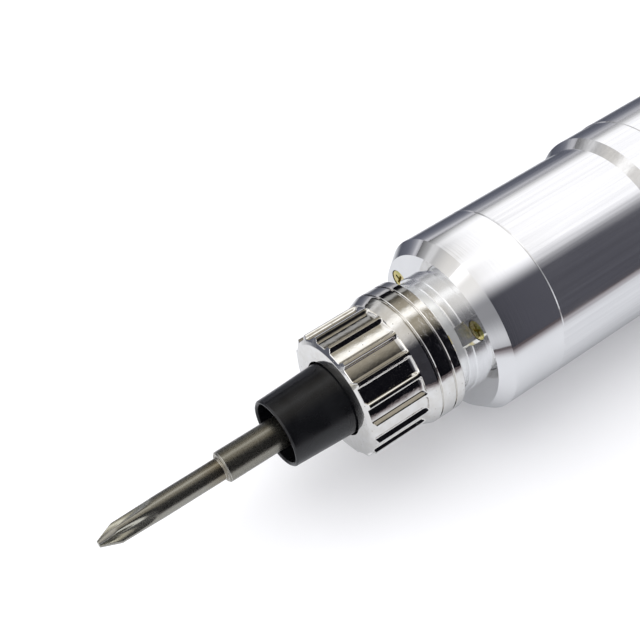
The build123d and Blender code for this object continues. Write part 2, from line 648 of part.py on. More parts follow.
def planet_gear(angle):
    # A tooth space faces the sun and the ring gear at rest
    outline = gear_outline(PLANET_TEETH, ADDENDUM, DEDENDUM, -BACKLASH, 180.0 / PLANET_TEETH)
    gear = gear_solid(GEAR_FRONT, GEAR_REAR, outline)
    gear -= rod(GEAR_FRONT - 1, GEAR_REAR + 1, PLANET_PIN_R + RUNNING_GAP)
    return Rot(angle, 0, 0) * Pos(0, PLANET_CIRCLE_R, 0) * gear


# Motor


def motor_shaft():
    """Hollow rotor shaft with the sun pinion cut on its front end."""
    pinion = gear_outline(SUN_TEETH, ADDENDUM, DEDENDUM, -BACKLASH, 0.0)
    shaft = gear_solid(GEAR_FRONT, GEAR_REAR + 0.6, pinion)
    shaft += rod(GEAR_REAR, SHAFT_REAR, SHAFT_R)
    return shaft - rod(GEAR_FRONT - 1, SHAFT_REAR + 1, SHAFT_BORE_R)


def rotor_core():
    core = tube(ROTOR_FRONT, ROTOR_REAR, ROTOR_R, SHAFT_R)
    for angle in around(ROTOR_SLOTS):
        core -= rod(ROTOR_FRONT - 1, ROTOR_REAR + 1, ROTOR_SLOT_R, angle, ROTOR_R - ROTOR_SLOT_R)
        mouth = block(ROTOR_FRONT - 1, ROTOR_REAR + 1, ROTOR_R - ROTOR_SLOT_R, ROTOR_R + 1, -0.6, 0.6)
        core -= Rot(angle, 0, 0) * mouth
    return core


def rotor_windings():
    """End turns of the rotor coils, one ring at each end of the core."""
    outer = ROTOR_R - 1.0
    inner = SHAFT_R + 0.9
    edge = 0.9
    depth = 3.0

    def end_turns(at_core, way):
        far = at_core + way * depth
        return turned((at_core, inner), (at_core, outer), (far - way * edge, outer),
                      (far, outer - edge), (far, inner + edge), (far - way * edge, inner))

    return Compound([end_turns(ROTOR_FRONT, -1).solid(), end_turns(ROTOR_REAR, 1).solid()])


def commutator():
    bars = tube(COMMUTATOR_FRONT, COMMUTATOR_REAR, COMMUTATOR_R, SHAFT_R)
    for angle in around(ROTOR_SLOTS):
        slit = block(COMMUTATOR_FRONT - 1, COMMUTATOR_REAR + 1, COMMUTATOR_R - 0.5, COMMUTATOR_R + 1, -0.2, 0.2)
        bars -= Rot(angle, 0, 0) * slit
    return bars


def bearing_fronts():
    inset = (MOTOR_PLATE - BEARING_WIDTH) / 2
    return (MOTOR_FRONT + inset, CAN_REAR + inset)


def motor_bearings():
    """Plain sintered bearings, one pressed in each motor plate."""
    rings = [tube(s, s + BEARING_WIDTH, BEARING_R, SHAFT_R + RUNNING_GAP) for s in bearing_fronts()]
    return Compound([ring.solid() for ring in rings])


def motor_plate(front, bearing_front):
    plate = tube(front, front + MOTOR_PLATE, CAN_R, SHAFT_R + 0.6)
    return plate - rod(bearing_front, bearing_front + BEARING_WIDTH, BEARING_R)


def motor_can():
    return tube(CAN_FRONT, CAN_REAR, CAN_R, MAGNET_R)


def motor_magnets():
    """Two arc magnets seated in the can."""
    front = ROTOR_FRONT - 1.0
    rear = ROTOR_REAR + 1.0
    profile = Plane.XZ * Pos((front + rear) / 2, MAGNET_R - MAGNET_THICKNESS / 2) * Rectangle(
        rear - front, MAGNET_THICKNESS)
    arc = Rot(-MAGNET_SPAN / 2, 0, 0) * revolve(profile, Axis.X, revolution_arc=MAGNET_SPAN)
    return Compound([(Rot(turn, 0, 0) * arc).solid() for turn in (0, 180)])


def brush_holders():
    """Two posts on the rear motor plate that carry the brushes."""
    front = COMMUTATOR_FRONT + BRUSH_MARGIN / 2
    half = BRUSH_SIZE / 2 + BRUSH_MARGIN
    inner = COMMUTATOR_R + BRUSH_LENGTH
    post = block(front, CAN_REAR, inner, MAGNET_R - 0.8, -half, half)
    return Compound([(Rot(turn, 0, 0) * post).solid() for turn in (0, 180)])


def carbon_brushes():
    front = COMMUTATOR_FRONT + BRUSH_MARGIN
    half = BRUSH_SIZE / 2
    brush = block(front, front + BRUSH_SIZE, COMMUTATOR_R - 0.6, COMMUTATOR_R + BRUSH_LENGTH, -half, half)
    brush -= rod(front - 1, front + BRUSH_SIZE + 1, COMMUTATOR_R + RUNNING_GAP)
    return Compound([(Rot(turn, 0, 0) * brush).solid() for turn in (0, 180)])


# Barrel, collar and rear housing


def motor_tube():
    return turned(
        (CAP_REAR, BARREL_BORE_R), (CAP_REAR, BARREL_R - SEAM_EDGE), (CAP_REAR + SEAM_EDGE, BARREL_R),
        (COLLAR_FRONT, BARREL_R), (COLLAR_FRONT, BARREL_SPIGOT_R), (BARREL_REAR, BARREL_SPIGOT_R),
        (BARREL_REAR, BARREL_BORE_R),
    )


def joint_collar():
    """Collar that takes the barrel in front and plugs into the rear housing behind."""
    bore = BARREL_SPIGOT_R + SEAT_GAP
    spigot_r = REAR_BORE_R - SEAT_GAP
    return turned(
        (COLLAR_FRONT, bore), (COLLAR_FRONT, BARREL_R), (COLLAR_FRONT + COLLAR_CHAMFER, COLLAR_R),
        (COLLAR_REAR, COLLAR_R), (COLLAR_REAR, spigot_r), (COLLAR_REAR + COLLAR_SPIGOT, spigot_r),
        (COLLAR_REAR + COLLAR_SPIGOT, BARREL_BORE_R), (BARREL_REAR, BARREL_BORE_R), (BARREL_REAR, bore),
    )


def screw_pocket_r():
    return SCREW_HEAD_R + 0.1


def rear_housing():
    housing = turned(
        (COLLAR_REAR, REAR_BORE_R), (COLLAR_REAR, REAR_R - SEAM_EDGE), (COLLAR_REAR + SEAM_EDGE, REAR_R),
        (REAR_END - SEAM_EDGE, REAR_R), (REAR_END, REAR_R - SEAM_EDGE), (REAR_END, REAR_BORE_R),
    )
    half = KNOB_SIZE / 2 + DIRECTION_TRAVEL + FREE_GAP
    housing -= block(DIRECTION_STATION - half, DIRECTION_STATION + half,
                     -KNOB_SIZE / 2 - FREE_GAP, KNOB_SIZE / 2 + FREE_GAP, KNOB_BASE, REAR_R + 1)
    for angle in (0, 180):
        station = REAR_END - END_CAP_SCREW_INSET
        pocket = Pos(station, REAR_R, 0) * Rot(90, 0, 0) * Cylinder(screw_pocket_r(), SCREW_HEAD_HEIGHT * 2)
        pocket += Pos(station, REAR_R, 0) * Rot(90, 0, 0) * Cylinder(SCREW_SHANK_R + SEAT_GAP, REAR_WALL * 4)
        housing -= Rot(angle, 0, 0) * pocket
    return housing


def end_cap():
    spigot_front = REAR_END - END_CAP_SPIGOT
    spigot_r = REAR_BORE_R - SEAT_GAP
    spigot_bore = spigot_r - END_CAP_SPIGOT_WALL
    pocket = REAR_END + END_CAP_POCKET
    cap = turned(
        (spigot_front, spigot_bore), (spigot_front, spigot_r), (REAR_END, spigot_r),
        (REAR_END, REAR_R - SEAM_EDGE), (REAR_END + SEAM_EDGE, REAR_R), (CAP_END - END_CAP_EDGE, REAR_R),
        (CAP_END, REAR_R - END_CAP_EDGE), (CAP_END, SOCKET_R + SEAT_GAP), (pocket, SOCKET_R + SEAT_GAP),
        (pocket, spigot_bore),
    )
    for angle in (0, 180):
        hole = Pos(BAIL_STATION, REAR_R, 0) * Rot(90, 0, 0)
        cap -= Rot(angle, 0, 0) * hole * Cylinder(BAIL_WIRE_R + RUNNING_GAP, 2 * (BAIL_PIN_DEPTH + FREE_GAP))
        thread = Pos(REAR_END - END_CAP_SCREW_INSET, spigot_r, 0) * Rot(90, 0, 0)
        cap -= Rot(angle, 0, 0) * thread * Cylinder(SCREW_SHANK_R + 0.02, 2 * END_CAP_SCREW_BITE + 1)
    return cap


def end_cap_screws():
    """Radial screws, one each side, that hold the end cap in the rear housing."""
    station = REAR_END - END_CAP_SCREW_INSET
    seat = REAR_R - SCREW_HEAD_HEIGHT
    head_top = REAR_R - 0.2
    shank_end = REAR_BORE_R - END_CAP_SCREW_BITE
    recess = 0.45
    screws = []
    for angle in (0, 180):
        head = Rot(90, 0, 0) * Cylinder(SCREW_HEAD_R, head_top - seat)
        shank = Rot(90, 0, 0) * Cylinder(SCREW_SHANK_R, seat - shank_end)
        screw = Pos(station, (seat + head_top) / 2, 0) * head
        screw += Pos(station, (seat + shank_end) / 2, 0) * shank
        slots = block(station - 1, station + 1, head_top - 0.5, head_top + 1, -recess / 2, recess / 2)
        slots += block(station - recess / 2, station + recess / 2, head_top - 0.5, head_top + 1, -1, 1)
        screws.append((Rot(angle, 0, 0) * (screw - slots)).solid())
    return Compound(screws)


# Start switch, electronics and direction switch


def start_rod():
    """Push rod through the hollow rotor shaft, which the spindle moves to close the start switch."""
    bar = rod(ROD_FRONT, SWITCH_FRONT, ROD_R)
    return bar + rod(ROD_COLLAR, START_SPRING_FRONT, ROD_COLLAR_R)


def start_spring():
    radius = ROD_R + 0.35 + START_SPRING_WIRE / 2
    return coil(START_SPRING_FRONT, TRAY_FRONT, radius, START_SPRING_WIRE, START_SPRING_TURNS)


def start_switch():
    _, width, height = START_SWITCH_SIZE
    body = block(SWITCH_FRONT, SWITCH_REAR, -width / 2, width / 2, -height / 2, height / 2)
    return body - rod(SWITCH_FRONT - 1, SWITCH_FRONT + START_SWITCH_DEPTH, ROD_R + FREE_GAP)


def board_tray():
    """Moulded tray along the bottom of the rear housing, with a front wall behind the motor."""
    tray = rod(TRAY_FRONT, TRAY_REAR, TRAY_FLOOR_R)
    high = TRAY_FLOOR_R + 1
    board_bottom = BOARD_TOP - BOARD_THICKNESS
    tray -= block(SWITCH_FRONT, TRAY_REAR + 1, -high, high, board_bottom, high)
    well = rod(BOARD_FRONT, TRAY_REAR - TRAY_WALL, TRAY_FLOOR_R - TRAY_WALL)
    well = well & block(BOARD_FRONT, TRAY_REAR, -BOARD_WIDTH / 2 + 1, BOARD_WIDTH / 2 - 1, -high, high)
    tray -= well
    tray -= rod(TRAY_FRONT - 1, SWITCH_FRONT + 1, ROD_R + FREE_GAP)
    _, width, height = START_SWITCH_SIZE
    tray -= block(SWITCH_FRONT, SWITCH_REAR + 0.2, -width / 2 - 0.1, width / 2 + 0.1, -height / 2, high)
    return tray


def circuit_board():
    half = BOARD_WIDTH / 2
    return block(BOARD_FRONT + 0.1, TRAY_REAR - 0.1, -half, half, BOARD_TOP - BOARD_THICKNESS, BOARD_TOP)


def brake_relay():
    length, width, height = RELAY_SIZE
    front = BOARD_FRONT + 3.0
    return block(front, front + length, -width / 2, width / 2, BOARD_TOP, BOARD_TOP + height)


def smoothing_capacitor():
    front = BOARD_FRONT + 4.0
    centre = BOARD_TOP - BOARD_THICKNESS - CAPACITOR_R
    return Pos(0, 0, centre) * rod(front, front + CAPACITOR_LENGTH, CAPACITOR_R)


def direction_switch():
    length, width = DIRECTION_SWITCH
    return block(DIRECTION_STATION - length / 2, DIRECTION_STATION + length / 2, -width / 2, width / 2,
                 BOARD_TOP, KNOB_BASE - SEAT_GAP)


def direction_knob():
    half = KNOB_SIZE / 2
    base_half = DIRECTION_SWITCH[0] / 2 - DIRECTION_TRAVEL - 0.2
    top = REAR_R + KNOB_PROUD
    knob = block(DIRECTION_STATION - base_half, DIRECTION_STATION + base_half, -half - 0.6, half + 0.6,
                 KNOB_BASE, KNOB_BASE + KNOB_BASE_HEIGHT)
    knob += block(DIRECTION_STATION - half, DIRECTION_STATION + half, -half, half, KNOB_BASE, top)
    rib = 0.4
    for step in (-1, 0, 1):
        middle = DIRECTION_STATION + step * 2 * rib
        knob -= block(middle - rib / 2, middle + rib / 2, -half - 1, half + 1, top - 0.35, top + 1)
    return knob


# Cable socket and hanging bail


def power_socket():
    inner = SOCKET_R - SOCKET_WALL
    shell = turned(
        (SOCKET_FRONT, inner), (SOCKET_FRONT, SOCKET_R), (SOCKET_REAR - 0.3, SOCKET_R),
        (SOCKET_REAR, SOCKET_R - 0.3), (SOCKET_REAR, inner),
    )
    return shell - block(INSULATOR_REAR + 1, SOCKET_REAR + 1, -0.8, 0.8, 0, SOCKET_R - 0.5)


def socket_insulator():
    disc = rod(SOCKET_FRONT + 1.0, INSULATOR_REAR, SOCKET_R - SOCKET_WALL - 0.02)
    for angle in socket_pin_angles():
        disc -= rod(SOCKET_FRONT, SOCKET_REAR, SOCKET_PIN_R, angle, SOCKET_PIN_CIRCLE_R)
    return disc


def socket_pin_angles():
    """Contacts spread round the lower three quarters, clear of the keyway on top."""
    spread = 240.0
    step = spread / (SOCKET_PIN_COUNT - 1)
    return [270 - spread / 2 + step * i for i in range(SOCKET_PIN_COUNT)]


def socket_pins():
    front = SOCKET_FRONT - 1.0
    rear = SOCKET_REAR - 2.0
    pins = [rod(front, rear, SOCKET_PIN_R, a, SOCKET_PIN_CIRCLE_R) for a in socket_pin_angles()]
    return Compound([pin.solid() for pin in pins])


def socket_nut():
    nut = extrude(Plane.YZ.offset(CAP_END) * RegularPolygon(SOCKET_NUT_R, 6), SOCKET_NUT_THICKNESS)
    return nut - rod(CAP_END - 1, SOCKET_REAR + 1, SOCKET_R + 0.02)


def hanger_bail():
    """Wire bail with a straight end, made level and then let down until that end lies on the ground."""
    pin_end = REAR_R - BAIL_PIN_DEPTH
    half = BAIL_HALF_WIDTH
    far = BAIL_REACH
    path = Line((0, pin_end), (0, half - BAIL_BEND_R))
    path += quarter_turn((0, half), BAIL_BEND_R, 1, -1)
    path += Line((BAIL_BEND_R, half), (far - BAIL_CORNER_R, half))
    path += quarter_turn((far, half), BAIL_CORNER_R, -1, -1)
    path += Line((far, half - BAIL_CORNER_R), (far, BAIL_CORNER_R - half))
    path += quarter_turn((far, -half), BAIL_CORNER_R, -1, 1)
    path += Line((far - BAIL_CORNER_R, -half), (BAIL_BEND_R, -half))
    path += quarter_turn((0, -half), BAIL_BEND_R, 1, 1)
    path += Line((0, BAIL_BEND_R - half), (0, -pin_end))
    section = Plane(origin=(0, pin_end, 0), z_dir=(0, 1, 0)) * Circle(BAIL_WIRE_R)
    return Pos(BAIL_STATION, 0, 0) * Rot(0, BAIL_DROOP, 0) * sweep(section, path=path)


def quarter_turn(corner, radius, way_x, way_y):
    """Arc that rounds a square corner of a flat wire path. way_x and way_y point into the corner's inside."""
    x, y = corner
    inset = radius * (1 - math.sqrt(0.5))
    middle = (x + way_x * inset, y + way_y * inset)
    return ThreePointArc((x, y + way_y * radius), middle, (x + way_x * radius, y))


def parts():
    """Every node of the tool about its own axis."""
    front_bearing, rear_bearing = bearing_fronts()
    made = {
        "screwdriver_bit": screwdriver_bit(),
        "spindle": spindle(),
        "lock_balls": lock_balls(),
        "sleeve_snap_ring": sleeve_snap_ring(),
        "bit_sleeve": bit_sleeve(),
        "sleeve_spring": sleeve_spring(),
        "torque_ring": torque_ring(),
        "thrust_washer": thrust_washer(),
        "push_pins": push_pins(),
        "spring_seat": spring_seat(),
        "torque_spring": torque_spring(),
        "clutch_plate": clutch_plate(),
        "clutch_balls": clutch_balls(),
        "nose_housing": nose_housing(),
        "spindle_bush": spindle_bush(),
        "front_cap": front_cap(),
        "face_screws": face_screws(),
        "gear_case": gear_case(),
        "carrier_bush": carrier_bush(),
        "planet_carrier": planet_carrier(),
        "planet_pins": planet_pins(),
        "motor_shaft": motor_shaft(),
        "rotor_core": rotor_core(),
        "rotor_windings": rotor_windings(),
        "commutator": commutator(),
        "motor_bearings": motor_bearings(),
        "motor_front_plate": motor_plate(MOTOR_FRONT, front_bearing),
        "motor_rear_plate": motor_plate(CAN_REAR, rear_bearing),
        "motor_can": motor_can(),
        "motor_magnets": motor_magnets(),
        "brush_holders": brush_holders(),
        "carbon_brushes": carbon_brushes(),
        "motor_tube": motor_tube(),
        "joint_collar": joint_collar(),
        "rear_housing": rear_housing(),
        "start_rod": start_rod(),
        "start_spring": start_spring(),
        "start_switch": start_switch(),
        "board_tray": board_tray(),
        "circuit_board": circuit_board(),
        "brake_relay": brake_relay(),
        "smoothing_capacitor": smoothing_capacitor(),
        "direction_switch": direction_switch(),
        "direction_knob": direction_knob(),
        "end_cap": end_cap(),
        "end_cap_screws": end_cap_screws(),
        "power_socket": power_socket(),
        "socket_insulator": socket_insulator(),
        "socket_pins": socket_pins(),
        "socket_nut": socket_nut(),
        "hanger_bail": hanger_bail(),
    }
    for number, angle in enumerate(around(PLANET_COUNT), 1):
        made[f"planet_gear_{number}"] = planet_gear(angle)
    return made


def ground_shift():
    """Move that sets the tool on the ground with the middle of its length over the origin."""
    rear = BAIL_STATION + BAIL_REACH * math.cos(math.radians(BAIL_DROOP)) + BAIL_WIRE_R
    return Pos(-rear / 2, 0, REAR_R)


def main():
    os.makedirs("parts", exist_ok=True)
    for name, shape in parts().items():
        export_step(ground_shift() * shape, f"parts/{name}.step")


if __name__ == "__main__":
    main()
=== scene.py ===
import json
import math
from typing import NamedTuple

import bmesh
import bpy
from mathutils import Matrix, Vector


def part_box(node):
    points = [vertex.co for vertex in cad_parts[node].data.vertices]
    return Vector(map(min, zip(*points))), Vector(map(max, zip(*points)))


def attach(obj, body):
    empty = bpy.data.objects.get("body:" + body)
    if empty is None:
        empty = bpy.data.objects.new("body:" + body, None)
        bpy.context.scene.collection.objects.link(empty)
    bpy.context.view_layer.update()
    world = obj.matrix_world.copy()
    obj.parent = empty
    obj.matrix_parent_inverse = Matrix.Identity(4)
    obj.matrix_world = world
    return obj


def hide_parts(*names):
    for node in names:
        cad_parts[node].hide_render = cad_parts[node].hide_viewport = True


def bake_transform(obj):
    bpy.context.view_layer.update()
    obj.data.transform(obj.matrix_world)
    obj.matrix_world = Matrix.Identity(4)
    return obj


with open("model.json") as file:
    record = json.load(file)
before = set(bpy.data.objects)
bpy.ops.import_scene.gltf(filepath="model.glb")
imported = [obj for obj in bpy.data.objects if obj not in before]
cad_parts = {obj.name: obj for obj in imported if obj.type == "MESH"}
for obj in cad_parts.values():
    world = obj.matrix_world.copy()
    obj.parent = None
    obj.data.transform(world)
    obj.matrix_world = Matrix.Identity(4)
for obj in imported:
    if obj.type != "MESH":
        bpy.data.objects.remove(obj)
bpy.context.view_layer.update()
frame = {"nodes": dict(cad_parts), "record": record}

# Lengths of the tool and the camera are named in millimetres, those of the floor and the lamp in metres.
# A station is a distance from the bit's tip along the tool.
MM = 0.001
NODES = frame["nodes"]
TIP_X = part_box("screwdriver_bit")[0][0]
AXIS_Z = sum(corner[2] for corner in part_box("motor_tube")) / 2


# Helpers


def add_object(name, mesh):
    obj = bpy.data.objects.new(name, mesh)
    bpy.context.collection.objects.link(obj)
    return obj


def add_node(tree, kind, settings=None, **inputs):
    """New shader node. settings are its own properties, inputs are values or links by socket name."""
    made = tree.nodes.new("ShaderNode" + kind)
    for key, value in (settings or {}).items():
        setattr(made, key, value)
    for key, value in inputs.items():
        set_input(tree, made.inputs[key.replace("_", " ")], value)
    return made


def set_input(tree, socket, value):
    if isinstance(value, bpy.types.NodeSocket):
        tree.links.new(value, socket)
    else:
        socket.default_value = value


def math_node(tree, operation, first, second=0.0):
    made = tree.nodes.new("ShaderNodeMath")
    made.operation = operation
    set_input(tree, made.inputs[0], first)
    set_input(tree, made.inputs[1], second)
    return made.outputs[0]


def span_node(tree, value, start, end, low=0.0, high=1.0, curve="LINEAR"):
    """Goes from low to high as value goes from start to end."""
    made = add_node(tree, "MapRange", {"interpolation_type": curve}, Value=value)
    for key, limit in zip(("From Min", "From Max", "To Min", "To Max"), (start, end, low, high)):
        set_input(tree, made.inputs[key], limit)
    return made.outputs[0]


def soft_step(tree, value, start, end, low=0.0, high=1.0):
    return span_node(tree, value, start, end, low, high, "SMOOTHSTEP")


def colour_ramp(tree, value, stops):
    ramp = tree.nodes.new("ShaderNodeValToRGB")
    marks = ramp.color_ramp.elements
    while len(marks) < len(stops):
        marks.new(0.5)
    for mark, (place, colour) in zip(marks, stops):
        mark.position = place
        mark.color = (*colour, 1)
    tree.links.new(value, ramp.inputs[0])
    return ramp.outputs[0]


def mix_colours(tree, factor, under, over, blend="MIX"):
    """Lays the colour over on what is under it, as far as factor says."""
    mix = add_node(tree, "Mix", {"data_type": "RGBA", "blend_type": blend}, Factor=factor)
    colours = [socket for socket in mix.inputs if socket.type == "RGBA"]
    set_input(tree, colours[0], under)
    colours[1].default_value = (*over, 1)
    return [socket for socket in mix.outputs if socket.type == "RGBA"][0]


def mix_shaders(tree, factor, first, second):
    mix = tree.nodes.new("ShaderNodeMixShader")
    for socket, source in zip(mix.inputs, (factor, first, second)):
        tree.links.new(source, socket)
    return mix.outputs[0]


def round_place(tree, place):
    """Height over the tool's axis and distance from it, for the outputs of a Separate XYZ node."""
    up = math_node(tree, "SUBTRACT", place["Z"], AXIS_Z)
    squares = [math_node(tree, "POWER", side, 2) for side in (place["Y"], up)]
    return up, math_node(tree, "SQRT", math_node(tree, "ADD", *squares))


# Studio


class Band(NamedTuple):
    """A light of the room as metal sees it, in degrees over the top from the camera side's horizon."""

    middle: float
    half: float
    blur: float
    colour: tuple
    seen_by: str


SOFT_BOX = Band(126, 51, 28, (1.12, 1.12, 1.14), "barrel")
ROOM_GLOW = Band(40, 46, 20, (0.075, 0.075, 0.09), "barrel")
STRIP_LIGHT = Band(116, 8, 14, (0.8, 0.82, 0.85), "front")
WARM_WALL = Band(114, 34, 30, (0.36, 0.33, 0.27), "front")
BACK_STRIP = Band(162, 5, 6, (0.34, 0.34, 0.34), "front")
ROOM = (ROOM_GLOW, SOFT_BOX, WARM_WALL, STRIP_LIGHT, BACK_STRIP)
ROOM_DARK = (0.004, 0.004, 0.006, 1)
END_WALL = (0.78, 0.79, 0.82)
END_WALL_EDGE = (-0.45, -0.75)
END_WALL_FADE = (0.1, 0.5, 1.0, 0.3)
# How far along the tool a direction points where the barrel's room begins, and where its side share does
BARREL_EDGE = (0.42, 0.49)
SIDE_EDGE = (0.05, -0.12)
SIDE_SHARE = 0.4
PLAIN_LIGHT = (0.98, 0.98, 1, 1)
WHITE = (1, 1, 1, 1)


def light_band(tree, angle, share, band):
    """Factor of one band of the room, from 0 outside it to 1 in its middle."""
    away = math_node(tree, "ABSOLUTE", math_node(tree, "SUBTRACT", angle, band.middle))
    edge = soft_step(tree, away, band.half - band.blur / 2, band.half + band.blur / 2, 1, 0)
    return math_node(tree, "MULTIPLY", edge, share[band.seen_by])


def end_wall(tree, way):
    """Factor of the pale wall past the bit's tip, weaker higher up."""
    ahead = soft_step(tree, way["X"], *END_WALL_EDGE)
    return math_node(tree, "MULTIPLY", ahead, soft_step(tree, way["Z"], *END_WALL_FADE))


def studio_world():
    """White to the camera and to diffuse light; a dark room with soft lights to reflections."""
    world = bpy.data.worlds.new("studio")
    bpy.context.scene.world = world
    world.use_nodes = True
    tree = world.node_tree
    tree.nodes.clear()
    way = add_node(tree, "SeparateXYZ", Vector=add_node(tree, "TexCoord").outputs["Generated"]).outputs
    toward = math_node(tree, "MULTIPLY", way["Y"], -1)
    angle = math_node(tree, "ARCTAN2", way["Z"], toward)
    angle = math_node(tree, "MULTIPLY", angle, 180 / math.pi)
    barrel = soft_step(tree, way["X"], *BARREL_EDGE)
    side = math_node(tree, "MULTIPLY", soft_step(tree, way["X"], *SIDE_EDGE), SIDE_SHARE)
    both = math_node(tree, "ADD", barrel, side)
    share = {"barrel": both, "front": math_node(tree, "SUBTRACT", 1, both)}
    lights = [(light_band(tree, angle, share, band), band.colour) for band in ROOM]
    lights.append((end_wall(tree, way), END_WALL))
    room = ROOM_DARK
    for factor, colour in lights:
        room = mix_colours(tree, factor, room, colour, "ADD")
    reflected = add_node(tree, "Background", Color=room)
    plain = add_node(tree, "Background", Color=PLAIN_LIGHT, Strength=1.0)
    seen = add_node(tree, "Background", Color=WHITE, Strength=1.0)
    path = add_node(tree, "LightPath").outputs
    light = mix_shaders(tree, path["Is Glossy Ray"], plain.outputs[0], reflected.outputs[0])
    light = mix_shaders(tree, path["Is Camera Ray"], light, seen.outputs[0])
    tree.links.new(light, tree.nodes.new("ShaderNodeOutputWorld").inputs["Surface"])


# Floor as metal sees it, by distance in metres behind the tool: a sheet of paper on a dark table
TABLE_EDGE = 0.6
SHEET = (
    (-0.45, (0.1, 0.085, 0.09)),
    (-0.2, (0.3, 0.28, 0.29)),
    (-0.1, (0.6, 0.61, 0.63)),
    (0.028, (0.66, 0.67, 0.69)),
    (0.045, (0.075, 0.08, 0.1)),
    (0.09, (0.11, 0.115, 0.14)),
    (0.3, (0.42, 0.42, 0.44)),
)
FLOOR_HALF = 6
FLOOR_WHITE = (0.97, 0.97, 0.98, 1)


def floor():
    """White to the camera, and a sheet of paper on a dark table to metal."""
    half = FLOOR_HALF
    mesh = bpy.data.meshes.new("floor")
    corners = [(-half, -half, 0), (half, -half, 0), (half, half, 0), (-half, half, 0)]
    mesh.from_pydata(corners, [], [(0, 1, 2, 3)])
    obj = add_object("floor", mesh)
    material = bpy.data.materials.new("paper")
    material.use_nodes = True
    tree = material.node_tree
    tree.nodes.clear()
    place = add_node(tree, "SeparateXYZ", Vector=add_node(tree, "TexCoord").outputs["Object"])
    across = span_node(tree, place.outputs["Y"], -TABLE_EDGE, TABLE_EDGE)
    stops = [((behind + TABLE_EDGE) / (2 * TABLE_EDGE), colour) for behind, colour in SHEET]
    plain = add_node(tree, "BsdfDiffuse", Color=FLOOR_WHITE)
    reflected = add_node(tree, "BsdfDiffuse", Color=colour_ramp(tree, across, stops))
    path = add_node(tree, "LightPath").outputs
    light = mix_shaders(tree, path["Is Glossy Ray"], plain.outputs[0], reflected.outputs[0])
    tree.links.new(light, tree.nodes.new("ShaderNodeOutputMaterial").inputs["Surface"])
    mesh.materials.append(material)


# Key light over the far side of the front end, in metres and watts
KEY_PLACE = (-0.12, 0.26, 0.6)
KEY_TARGET = (-0.04, 0, 0.01)
KEY_SIZE = 0.8
KEY_POWER = 2.0


def key_light():
    """Soft lamp for the shadow, which metal doesn't show."""
    data = bpy.data.lights.new("key", "AREA")
    data.shape = "DISK"
    data.size = KEY_SIZE
    data.energy = KEY_POWER
    lamp = add_object("key", data)
    lamp.location = KEY_PLACE
    lamp.rotation_euler = (Vector(KEY_TARGET) - Vector(KEY_PLACE)).to_track_quat("-Z", "Y").to_euler()
    lamp.visible_glossy = False


# Camera, worked out from the photo's perspective: its place from the bit's tip, and two of its axes
PHOTO_PLACE = (-16.74, -74.97, 149.19)
PHOTO_RIGHT = (0.8072, -0.5903, 0.0)
PHOTO_FORWARD = (0.3481, 0.4761, -0.8076)
PHOTO_LENS = 65.73
SENSOR_WIDTH = 36
NEAREST = 10


def photo_camera():
    """Close camera above the bit side."""
    data = bpy.data.cameras.new("photo")
    data.lens = PHOTO_LENS
    data.sensor_width = SENSOR_WIDTH
    data.clip_start = NEAREST * MM
    right = Vector(PHOTO_RIGHT).normalized()
    forward = Vector(PHOTO_FORWARD).normalized()
    up = right.cross(forward).normalized()
    turn = Matrix((right, up, -forward)).transposed().to_4x4()
    place = Vector((TIP_X, 0, AXIS_Z)) + MM * Vector(PHOTO_PLACE)
    camera = add_object("photo", data)
    camera.matrix_world = Matrix.Translation(place) @ turn
    bpy.context.scene.camera = camera


# Finishes


NOISE_SPAN = (0.3, 0.7)
EDGE_TURN = (0.985, 0.9)
BEVEL_SAMPLES = 6


